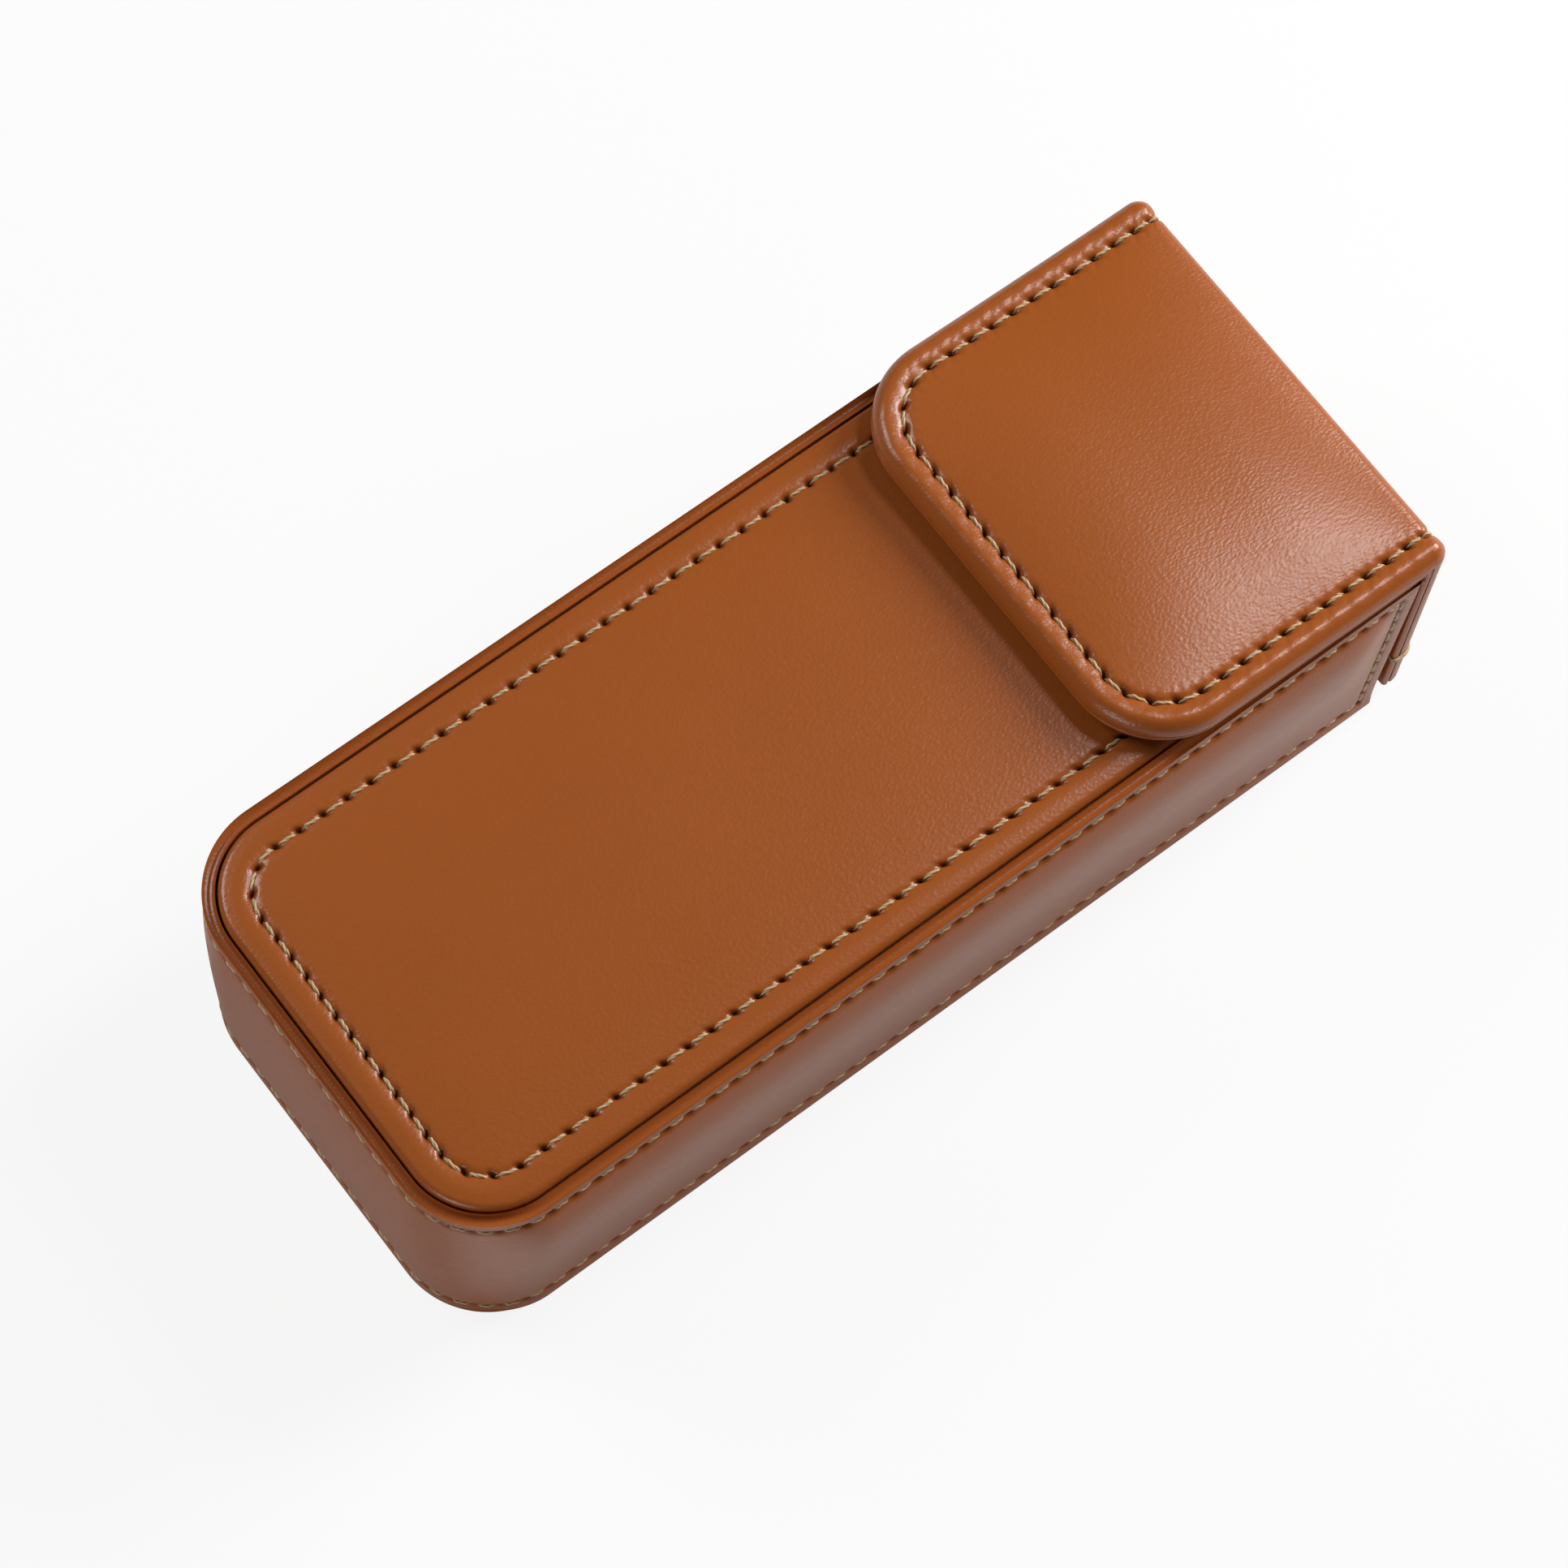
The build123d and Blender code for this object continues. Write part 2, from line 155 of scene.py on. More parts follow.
class CaseColours(bpy.types.PropertyGroup):
    """Colours of the materials."""

    leather: colour("Leather", "Tan of the smooth leather", "#AA5A23")
    leather_deep: colour("Leather, deep", "The darker tone that the tan drifts to", "#A0531D")
    # Painted shade: the near-black colour that fills each needle hole stands for the shade inside it
    needle: colour("Needle hole", "Leather inside a needle hole", "#1E0D05")
    thread: colour("Thread", "Waxed sewing thread", "#DCC193")
    lining: colour("Lining", "Brushed microfibre", "#6B4A34")
    board: colour("Board", "Grey board", "#A59C8C")
    steel: colour("Steel", "Plated steel", "#CFCFD1")
    floor: colour("Floor", "Table under the case", "#DEDEDE")


def mm(value):
    """A size property in millimetres."""
    return value / MM


def shape_of(context):
    return context.scene.case_shape


def seams_of(context):
    return context.scene.case_seams


# Outlines: a plan is the outline of a flat piece, known at any distance in from its edge


class Plan:
    """Stations round a rounded outline. Each lies between two corners, at a share of the way."""

    LEAST_RADIUS = 0.5
    LISTS = ("first", "second", "share", "outward", "stitch", "pitch")

    def __init__(self):
        for name in self.LISTS:
            setattr(self, name, [])

    def run(self, first, second, outward, shares, stitch, pitch):
        """A straight run between two corners, each (point, sign, radius)."""
        for share, number in zip(shares, stitch):
            self._add(first, second, share, outward, number, pitch)

    def turn(self, corner, start, end, count, stitch, pitch):
        """A turn round one corner, from one angle to another."""
        for i, number in zip(range(count), stitch):
            angle = math.radians(start + (end - start) * i / count)
            self._add(corner, corner, 0.0, (math.cos(angle), math.sin(angle)), number, pitch)

    def _add(self, first, second, share, outward, stitch, pitch):
        self.first.append([*first[0], *first[1], first[2]])
        self.second.append([*second[0], *second[1], second[2]])
        self.share.append(share)
        self.outward.append(outward)
        self.stitch.append(stitch)
        self.pitch.append(pitch)

    def finish(self):
        for name in self.LISTS:
            setattr(self, name, np.array(getattr(self, name), float))
        return self

    def pick(self, which):
        """Some of the stations, as a plan of their own."""
        part = Plan()
        for name in self.LISTS:
            setattr(part, name, getattr(self, name)[which])
        return part

    def _end(self, corner, inset):
        radius = np.maximum(corner[:, 4] - inset, np.minimum(corner[:, 4], self.LEAST_RADIUS))
        centre = corner[:, 0:2] - corner[:, 2:4] * (inset + radius)[..., None]
        return centre + self.outward * radius[..., None]

    def at(self, inset):
        """Points of the outline moved in by inset, an array whose last axis is the stations."""
        start, end = self._end(self.first, inset), self._end(self.second, inset)
        return start + (end - start) * self.share[:, None]


def stitches(size, stitch):
    """Whole number of stitches in a length."""
    return max(1, round(size / stitch))


def sew(plan, corners, outwards, seam_inset, lengths, closed):
    """Adds the runs and turns between corners, with evenly spaced stitches in each of them."""
    done = 0
    count = len(corners)
    for i in range(count if closed else count - 1):
        here, there = corners[i], corners[(i + 1) % count]
        outward = outwards[i]
        begin, finish = plan_point(here, outward, seam_inset), plan_point(there, outward, seam_inset)
        size = math.dist(begin, finish)
        number = stitches(size, lengths[i])
        steps = number * STEPS
        shares = np.arange(steps) / steps
        plan.run(here, there, outward, shares, done + shares * number, size / number)
        done += number
        if closed or i < count - 2:
            start = math.degrees(math.atan2(outward[1], outward[0]))
            size = max(there[2] - seam_inset, plan.LEAST_RADIUS) * RIGHT_ANGLE
            number = stitches(size, lengths[i])
            steps = number * STEPS
            numbers = done + np.arange(steps) / STEPS
            plan.turn(there, start, start - 90, steps, numbers, size / number)
            done += number
    return done


def plan_point(corner, outward, inset):
    """Where a straight run begins at a corner, moved in by inset."""
    (x, y), (sign_x, sign_y), radius = corner
    radius = max(radius - inset, min(radius, Plan.LEAST_RADIUS))
    centre_x, centre_y = x - sign_x * (inset + radius), y - sign_y * (inset + radius)
    return centre_x + outward[0] * radius, centre_y + outward[1] * radius


NEAR, CLOSED, FAR, OPEN = (0, -1), (-1, 0), (0, 1), (1, 0)


def panel_plan(near_x, end_x, half, corner, end_corner, inset, side_stitch, end_stitch):
    """Closed outline of a panel with its rounded end at near_x."""
    corners = [
        ((end_x, -half), (1, -1), end_corner),
        ((near_x, -half), (-1, -1), corner),
        ((near_x, half), (-1, 1), corner),
        ((end_x, half), (1, 1), end_corner),
    ]
    plan = Plan()
    sew(plan, corners, [NEAR, CLOSED, FAR, OPEN], inset, [side_stitch, end_stitch] * 2, True)
    return plan.finish()


def strip_plan(near_x, end_x, half, corner, inset, stitch):
    """Outline open at end_x: along one side, round the rounded end and back along the other."""
    corners = [
        ((end_x, -half), (0, -1), 0.0),
        ((near_x, -half), (-1, -1), corner),
        ((near_x, half), (-1, 1), corner),
        ((end_x, half), (0, 1), 0.0),
    ]
    plan = Plan()
    done = sew(plan, corners, [NEAR, CLOSED, FAR], inset, [stitch] * 3, False)
    plan.run(corners[2], corners[3], FAR, [1.0], [done], stitch)
    return plan.finish()


# Profiles: the section of a skin across its edge, as rows of (distance in from the edge, depth)


def arc(centre, radius, start, end, count):
    """Points of a profile's round stretch. An angle of 0 points in from the edge and 90 points deep."""
    angles = np.radians(np.linspace(start, end, count))
    return [(centre[0] + radius * math.cos(a), centre[1] + radius * math.sin(a)) for a in angles]


def level(depth, *distances):
    """Points of a profile's flat stretch."""
    return [(distance, depth) for distance in distances]


def seam_rows(inset, reach=1.5, count=15):
    """Distances that are close together about a seam."""
    return [inset + reach * share * (0.45 + 0.55 * abs(share)) for share in np.linspace(-1, 1, count)]


def left_of(rows, closed=False):
    """Unit normals of a profile, on the left of its direction."""
    rows = np.array(rows, float)
    if closed:
        step = np.roll(rows, -1, 0) - np.roll(rows, 1, 0)
    else:
        step = np.gradient(rows, axis=0)
    size = np.maximum(np.linalg.norm(step, axis=1), 1e-9)
    return np.stack([-step[:, 1] / size, step[:, 0] / size], 1)


# Relief: how far a skin is pushed out of, or pulled into, its plain shape, in millimetres


def nothing(inset, *others):
    """No relief, and no marks."""
    return np.zeros_like(inset)


def bell(x, width):
    """1 in the middle, and nearly 0 two widths away."""
    return np.exp(-((x / width) ** 2))


def rise(x):
    """Smooth step from 0 to 1 while x goes from 0 to 1."""
    x = np.clip(x, 0, 1)
    return x * x * (3 - 2 * x)


class Seam:
    """A row of stitches, and what it does to the leather beside it."""

    # Stitches after which the unevenness comes round again
    CYCLE = 400

    def __init__(self, seed, hole=0.9, gather=0.03, groove=0.25, width=0.6, slot=0.6, reach=0.8):
        """How deep the needle holes, the gathers and the groove are, how wide the groove is, half the
        length of a hole's slot, and how far the gathers reach, in millimetres."""
        self.hole, self.gather, self.groove = hole, gather, groove
        self.width, self.slot, self.reach = width, slot, reach
        self.uneven = np.random.default_rng(seed).uniform(-1, 1, (4, self.CYCLE))

    def hole_at(self, across, stitch, pitch):
        """Share of a needle hole at a place: 1 in its middle. The holes are slots on a slant."""
        near = np.round(stitch)
        along = (stitch - near) * pitch
        wander = self.uneven[0][near.astype(int) % self.CYCLE] * 0.06
        slanted = across - wander - 0.45 * along
        return bell(slanted, 0.4) * bell(along, self.slot)

    def gathers(self, across, stitch):
        """Puffs on both sides of the seam, between creases that run out from each hole and from the
        middle of each stitch."""
        slip = stitch + 0.16 * across
        near, far = np.round(slip).astype(int) % self.CYCLE, np.floor(slip).astype(int) % self.CYCLE
        creases = (1 + 0.3 * self.uneven[1][near]) * bell(slip - np.round(slip), 0.13)
        middle = slip - np.floor(slip) - 0.5 + 0.06 * self.uneven[3][far]
        creases = creases + (0.55 + 0.3 * self.uneven[2][far]) * bell(middle, 0.12)
        envelope = np.exp(-(((np.abs(across) - 0.7) / self.reach) ** 2)) * rise(np.abs(across) / 0.45)
        return self.gather * (0.35 - creases) * envelope

    def relief(self, across, stitch, pitch):
        """The seam's own valley, its needle holes and the puffs beside them."""
        valley = -self.groove * bell(across, self.width)
        deep = self.hole * (1 + 0.15 * self.uneven[2][np.round(stitch).astype(int) % self.CYCLE])
        return valley - deep * self.hole_at(across, stitch, pitch) + self.gathers(across, stitch)


# Places: each turns plan points and depths into points of the model


def at_height(points, height):
    """Plan points, each at a height of its own."""
    return np.concatenate([points, height[..., None]], -1)


def into_fold(along):
    """Share of the way from the back panel into the bottom fold, where along is counted from the fold."""
    return rise((along + 3.5) / 3.0)


class FoldedStrip:
    """A strip that goes round one of the strap's folds. Its length is counted from the fold, less than
    0 on the flap or the back and more on the spine."""

    REACH = 4.7
    LEAST_RADIUS = 0.35

    def __init__(self, radius, top):
        self.radius, self.top = radius, top

    def section(self, along, depth):
        """Distance in from the spine's outer face, and from the flap's or the back's outer face."""
        reach = self.REACH
        radius = np.maximum(self.radius - depth, self.LEAST_RADIUS)
        straight = reach - depth - radius
        turned = radius * RIGHT_ANGLE
        walked = np.clip((along + reach) / (2 * reach), 0, 1) * (2 * straight + turned)
        angle = np.clip((walked - straight) / radius, 0, RIGHT_ANGLE)
        before = np.maximum(straight - walked, 0)
        after = np.maximum(walked - straight - turned, 0)
        inwards = depth + radius - radius * np.sin(angle) + before
        downwards = depth + radius - radius * np.cos(angle) + after
        return inwards + np.maximum(-along - reach, 0), downwards + np.maximum(along - reach, 0)

    def place(self, points, depth):
        inwards, downwards = self.section(points[..., 0], depth)
        height = case_top_z - downwards if self.top else floor_z + downwards
        return np.stack([fold_x - inwards, points[..., 1], height], -1)


# Meshes


def sheet_faces(rows, columns, closed_rows, closed_columns):
    """Quads of a grid of vertices."""
    row = np.arange(rows if closed_rows else rows - 1)
    column = np.arange(columns if closed_columns else columns - 1)
    r, c = np.meshgrid(row, column, indexing="ij")
    here, there = r * columns, (r + 1) % rows * columns
    next_c = (c + 1) % columns
    return np.stack([here + c, here + next_c, there + next_c, there + c], -1).reshape(-1, 4)


def slab_faces(rows, columns):
    """Faces of two grids of vertices, one over the other, joined round their border."""
    count = rows * columns
    one = sheet_faces(rows, columns, False, False)
    border = [*range(columns), *range(2 * columns - 1, count, columns)]
    border += [*range(count - 2, count - columns - 1, -1), *range(count - 2 * columns, 0, -columns)]
    faces = [*one.tolist(), *(one[:, ::-1] + count).tolist()]
    return faces + [[a, b, b + count, a + count] for a, b in zip(border, border[1:] + border[:1])]


def make_piece(name, points, faces, material, marks=None):
    """A mesh object from points in millimetres and lists of faces, with its rest place stored."""
    mesh = bpy.data.meshes.new(name)
    mesh.from_pydata((points.reshape(-1, 3) * MM).tolist(), [], [list(f) for f in faces])
    rest = mesh.attributes.new("rest", "FLOAT_VECTOR", "POINT")
    rest.data.foreach_set("vector", (points.reshape(-1, 3) * MM).astype(np.float32).ravel())
    for mark, values in (marks or {}).items():
        layer = mesh.attributes.new(mark, "FLOAT", "POINT")
        layer.data.foreach_set("value", values.reshape(-1).astype(np.float32))
    work = bmesh.new()
    work.from_mesh(mesh)
    bmesh.ops.remove_doubles(work, verts=work.verts, dist=WELD * MM)
    bmesh.ops.dissolve_degenerate(work, edges=work.edges, dist=WELD * MM / 20)
    open_edges = [e for e in work.edges if e.is_boundary]
    if open_edges:
        bmesh.ops.holes_fill(work, edges=open_edges)
    bmesh.ops.recalc_face_normals(work, faces=work.faces)
    work.to_mesh(mesh)
    work.free()
    mesh.shade_smooth()
    mesh.set_sharp_from_angle(angle=math.radians(SHARP_DEGREES))
    piece = bpy.data.objects.new(name, mesh)
    bpy.context.scene.collection.objects.link(piece)
    mesh.materials.append(material)
    return piece


def skin(name, plan, rows, place, relief, mark, material, closed_rows=False, closed_columns=False):
    """Leather or cloth laid over a profile and carried round a plan. A profile that isn't closed begins
    and ends on the plan's middle line, where the two sides meet."""
    rows = np.array(rows, float)
    normal = -left_of(rows, closed_rows)
    inset = np.repeat(rows[:, :1], len(plan.share), 1)
    depth = np.repeat(rows[:, 1:], len(plan.share), 1)
    push = relief(inset, depth, plan.at(inset))
    points = plan.at(inset + normal[:, :1] * push)
    if not closed_rows:
        points[[0, -1], :, 1] = 0
    placed = place(points, depth + normal[:, 1:] * push)
    faces = sheet_faces(len(rows), len(plan.share), closed_rows, closed_columns)
    return make_piece(name, placed, faces, material, {"needle": mark(inset, depth)})


def unit(vectors):
    """Vectors brought to a length of 1."""
    return vectors / np.linalg.norm(vectors, axis=-1, keepdims=True)


def thread_tubes(name, centres, ups, thickness, material, twists=1.4, taper=0.6):
    """Twisted threads, one along each row of centres. ups point away from the leather."""
    count, steps, _ = centres.shape
    along = unit(np.gradient(centres, axis=1))
    side = unit(np.cross(along, ups))
    up = np.cross(side, along)
    angle = np.arange(THREAD_SIDES) / THREAD_SIDES * 2 * np.pi
    share = np.linspace(0, 1, steps)
    end = taper + (1 - taper) * np.sin(np.pi * share) ** 0.4
    twist = np.arange(count)[:, None] * 1.7 + share[None, :] * 2 * np.pi * twists
    ply = np.cos(PLIES * (angle[None, None, :] + twist[:, :, None]))
    swell = 1 + 0.2 * ply
    radius = thickness / 2 * end[None, :, None] * swell
    ring = (
        centres[:, :, None]
        + radius[..., None] * np.cos(angle)[None, None, :, None] * side[:, :, None]
        + radius[..., None] * np.sin(angle)[None, None, :, None] * up[:, :, None]
    )
    faces = []
    one = sheet_faces(steps, THREAD_SIDES, False, True)
    for i in range(count):
        base = i * steps * THREAD_SIDES
        after = base + steps * THREAD_SIDES
        faces += (one + base).tolist()
        faces += [list(range(base, base + THREAD_SIDES)), list(range(after - THREAD_SIDES, after))]
    # between_plies marks the grooves that the thread's material darkens with painted shade
    return make_piece(name, ring, faces, material, {"between_plies": 0.5 - 0.5 * ply})


def stitched(name, seam, ground, above, thickness, material):
    """Stitches over the leather. Each row of ground runs along the leather from hole to hole, and above
    is 1 mm off it. A stitch lies flat, a little askew, and dives into the holes at its ends."""
    count, steps, _ = ground.shape
    share = np.linspace(0, 1, 17)
    at = share * (steps - 1)
    low = np.minimum(at.astype(int), steps - 2)
    part = (at - low)[None, :, None]
    base = ground[:, low] * (1 - part) + ground[:, low + 1] * part
    up = above - ground
    up = unit(up[:, low] * (1 - part) + up[:, low + 1] * part)
    side = unit(np.cross(ground[:, -1:] - ground[:, :1], up))
    # The middle third lies on the leather, and from there each end curves down into its hole
    from_middle = np.abs(2 * share - 1)
    dive = np.maximum(from_middle - 0.36, 0) ** 1.5 * 3.2
    lift = (0.26 * thickness - dive)[None, :, None]
    slant = 0.3 * (share - 0.5)[None, :, None]
    askew = slant + 0.06 * seam.uneven[1][np.arange(count) % seam.CYCLE][:, None, None]
    return thread_tubes(name, base + up * lift + side * askew, up, thickness, material)


def stations_of(plan, first, last, steps, closed=False):
    """Numbers of the stations along each stitch from one to another. A closed plan comes round again."""
    index = np.arange(first, last)[:, None] * steps + np.arange(steps + 1)
    return index % len(plan.share) if closed else np.minimum(index, len(plan.share) - 1)


def points_of(plan, index, inset):
    """Plan points of some of its stations, all at one inset."""
    return plan.pick(index.ravel()).at(np.full(index.size, inset)).reshape(*index.shape, 2)


def sewn_thread(name, plan, seam, inset, place, first, last, thickness, material, closed=False):
    """Stitches of a seam that runs round a plan, from one stitch to another, at the seam's depth."""
    index = stations_of(plan, first, last, STEPS, closed)
    flat = points_of(plan, index, inset)
    depth = np.full(index.shape, seam.groove)
    return stitched(name, seam, place(flat, depth), place(flat, depth - 1), thickness, material)


# Materials


def add(tree, kind, inputs=(), **settings):
    """Adds a node, sets its properties, and sets or links its inputs."""
    node = tree.nodes.new(kind)
    for name, value in settings.items():
        setattr(node, name, value)
    for name, value in dict(inputs).items():
        if isinstance(value, bpy.types.NodeSocket):
            tree.links.new(value, node.inputs[name])
        else:
            node.inputs[name].default_value = value
    return node


def tone(value):
    return (*value, 1.0)


def material_named(name):
    """Turns a function that adds a surface's nodes into one that gives the material of that name, which
    is made the first time it is asked for."""

    def wrap(surface):
        @functools.wraps(surface)
        def material(colours):
            if name not in bpy.data.materials:
                made = bpy.data.materials.new(name)
                made.use_nodes = True
                tree = made.node_tree
                tree.nodes.clear()
                output = add(tree, "ShaderNodeOutputMaterial")
                tree.links.new(surface(tree, colours), output.inputs["Surface"])
            return bpy.data.materials[name]

        return material

    return wrap


@material_named("smooth calf leather")
def leather_material(tree, colours):
    """Smooth aniline-dyed calf with a thin sealed finish: soft sheen, fine grain, slow drift of tone, and
    painted shade in its needle holes.
    """
    rest = add(tree, "ShaderNodeAttribute", attribute_name="rest").outputs["Vector"]
    needle = add(tree, "ShaderNodeAttribute", attribute_name="needle").outputs["Fac"]
    # The dye takes a little unevenly over patches a few centimetres wide
    patches = {"Vector": rest, "Scale": 1 / (28 * MM), "Detail": 3.0}
    drift = add(tree, "ShaderNodeTexNoise", patches).outputs["Fac"]
    tones = {"Factor": drift, 6: tone(colours.leather_deep), 7: tone(colours.leather)}
    dyed = add(tree, "ShaderNodeMix", tones, data_type="RGBA").outputs[2]
    # Painted shade: the needle holes are coloured near black for the shade that falls into them
    hole_shading = {"Factor": needle, 6: dyed, 7: tone(colours.needle)}
    holes = add(tree, "ShaderNodeMix", hole_shading, data_type="RGBA").outputs[2]
    # Grain cells 0.4 mm across, pulled a little along the hide
    pulled = add(tree, "ShaderNodeMapping", {"Vector": rest, "Scale": (0.75, 1.15, 1.0)}).outputs["Vector"]
    grain = {"Vector": pulled, "Scale": 1 / (0.4 * MM), "Randomness": 1.0}
    cells = add(tree, "ShaderNodeTexVoronoi", grain, feature="SMOOTH_F1").outputs["Distance"]
    # Soft creases between groups of cells
    groups = {"Vector": pulled, "Scale": 1 / (1.1 * MM), "Detail": 4.0, "Roughness": 0.6}
    creases = add(tree, "ShaderNodeTexNoise", groups).outputs["Fac"]
    height = add(tree, "ShaderNodeMath", {0: creases, 1: 0.1, 2: cells}, operation="MULTIPLY_ADD").outputs[0]
    relief = {"Height": height, "Strength": 0.6, "Distance": 0.05 * MM}
    bump = add(tree, "ShaderNodeBump", relief).outputs["Normal"]
    polish = {"Value": creases, "To Min": 0.25, "To Max": 0.35}
    gloss = add(tree, "ShaderNodeMapRange", polish).outputs["Result"]
    # Raw leather inside the holes has no finish to shine, and their near-black colour is painted shade
    dull = {"Value": needle, "To Min": 0.5, "To Max": 0.0}
    sheen = add(tree, "ShaderNodeMapRange", dull).outputs["Result"]
    finish = {"Base Color": holes, "Roughness": gloss, "IOR": 1.54}
    finish.update({"Specular IOR Level": sheen, "Normal": bump})
    return add(tree, "ShaderNodeBsdfPrincipled", finish).outputs["BSDF"]


@material_named("waxed sewing thread")
def thread_material(tree, colours):
    """Waxed polyester sewing thread: pale, with a dull shine along its plies and painted shade in the
    grooves between them.
    """
    rest = add(tree, "ShaderNodeAttribute", attribute_name="rest").outputs["Vector"]
    strands = {"Vector": rest, "Scale": 1 / (0.3 * MM), "Detail": 2.0}
    fibres = add(tree, "ShaderNodeTexNoise", strands).outputs["Fac"]
    # Painted shade: the grooves between the plies are darkened to 0.3 of the thread's colour
    crease = add(tree, "ShaderNodeAttribute", attribute_name="between_plies").outputs["Fac"]
    crease = add(tree, "ShaderNodeMath", {0: crease, 1: 2.5}, operation="POWER").outputs[0]
    shadow = {"Value": crease, "To Min": 1.0, "To Max": 0.3}
    dark = add(tree, "ShaderNodeMapRange", shadow).outputs["Result"]
    fleck = {"Value": fibres, "To Min": 0.75, "To Max": 1.1}
    shade = add(tree, "ShaderNodeMapRange", fleck).outputs["Result"]
    shade = add(tree, "ShaderNodeMath", {0: shade, 1: dark}, operation="MULTIPLY").outputs[0]
    shaded = {"Factor": 1.0, 6: tone(colours.thread), 7: shade}
    body = add(tree, "ShaderNodeMix", shaded, data_type="RGBA", blend_type="MULTIPLY").outputs[2]
    finish = {"Base Color": body, "Roughness": 0.45, "IOR": 1.5, "Sheen Weight": 0.15}
    return add(tree, "ShaderNodeBsdfPrincipled", finish).outputs["BSDF"]


@material_named("brushed microfibre")
def lining_material(tree, colours):
    """Brushed microfibre: matt, with a short nap that lights up at its edges."""
    rest = add(tree, "ShaderNodeAttribute", attribute_name="rest").outputs["Vector"]
    hairs = {"Vector": rest, "Scale": 1 / (0.5 * MM), "Detail": 3.0}
    nap = add(tree, "ShaderNodeTexNoise", hairs).outputs["Fac"]
    strokes = {"Vector": rest, "Scale": 1 / (9 * MM), "Detail": 3.0}
    patches = add(tree, "ShaderNodeTexNoise", strokes).outputs["Fac"]
    mixed = add(tree, "ShaderNodeMath", {0: nap, 1: patches}, operation="ADD").outputs[0]
    fleck = {"Value": mixed, "From Min": 0.6, "From Max": 1.4, "To Min": 0.78, "To Max": 1.15}
    shade = add(tree, "ShaderNodeMapRange", fleck).outputs["Result"]
    shaded = {"Factor": 1.0, 6: tone(colours.lining), 7: shade}
    body = add(tree, "ShaderNodeMix", shaded, data_type="RGBA", blend_type="MULTIPLY").outputs[2]
    relief = {"Height": nap, "Strength": 0.6, "Distance": 0.08 * MM}
    bump = add(tree, "ShaderNodeBump", relief).outputs["Normal"]
    finish = {"Base Color": body, "Roughness": 0.9, "Normal": bump}
    finish.update({"Sheen Weight": 0.5, "Sheen Roughness": 0.4})
    return add(tree, "ShaderNodeBsdfPrincipled", finish).outputs["BSDF"]


@material_named("grey fibre board")
def board_material(tree, colours):
    """Grey board pressed from recycled fibre: matt and flecked."""
    place = add(tree, "ShaderNodeTexCoord").outputs["Object"]
    pulp = {"Vector": place, "Scale": 1 / (0.8 * MM), "Detail": 5.0}
    flecks = add(tree, "ShaderNodeTexNoise", pulp).outputs["Fac"]
    fleck = {"Value": flecks, "To Min": 0.8, "To Max": 1.15}
    shade = add(tree, "ShaderNodeMapRange", fleck).outputs["Result"]
    shaded = {"Factor": 1.0, 6: tone(colours.board), 7: shade}
    body = add(tree, "ShaderNodeMix", shaded, data_type="RGBA", blend_type="MULTIPLY").outputs[2]
    relief = {"Height": flecks, "Strength": 0.4, "Distance": 0.05 * MM}
    bump = add(tree, "ShaderNodeBump", relief).outputs["Normal"]
    finish = {"Base Color": body, "Roughness": 0.88, "Normal": bump}
    return add(tree, "ShaderNodeBsdfPrincipled", finish).outputs["BSDF"]


@material_named("nickel-plated steel")
def steel_material(tree, colours):
    """Nickel-plated steel disc, lightly brushed: bright, with faint lines that soften what it mirrors."""
    place = add(tree, "ShaderNodeTexCoord").outputs["Object"]
    drawn = add(tree, "ShaderNodeMapping", {"Vector": place, "Scale": (0.05, 1.0, 1.0)}).outputs["Vector"]
    brushing = {"Vector": drawn, "Scale": 1 / (0.15 * MM), "Detail": 2.0}
    lines = add(tree, "ShaderNodeTexNoise", brushing).outputs["Fac"]
    polish = {"Value": lines, "To Min": 0.25, "To Max": 0.42}
    gloss = add(tree, "ShaderNodeMapRange", polish).outputs["Result"]
    finish = {"Base Color": tone(colours.steel), "Metallic": 1.0, "Roughness": gloss}
    return add(tree, "ShaderNodeBsdfPrincipled", finish).outputs["BSDF"]


@material_named("white laminate table")
def table_material(tree, colours):
    """White laminate: matt. To the camera it partly glows, as a table does that is lit to be white."""
    top = add(tree, "ShaderNodeBsdfDiffuse", {"Color": tone(colours.floor)}).outputs["BSDF"]
    glow = add(tree, "ShaderNodeEmission", {"Color": (1, 1, 1, 1), "Strength": 1.03}).outputs["Emission"]
    seen = add(tree, "ShaderNodeLightPath").outputs["Is Camera Ray"]
    share = add(tree, "ShaderNodeMath", {0: seen, 1: 0.85}, operation="MULTIPLY").outputs[0]
    return add(tree, "ShaderNodeMixShader", {0: share, 1: top, 2: glow}).outputs["Shader"]


# Pieces


def front_surface(y):
    """Height of the front board's padded cover at a distance from its middle line."""
    edge = rim_z - 0.2
    return edge + (front_crown_z - edge) * (1 - (y / panel_half_width) ** 2)


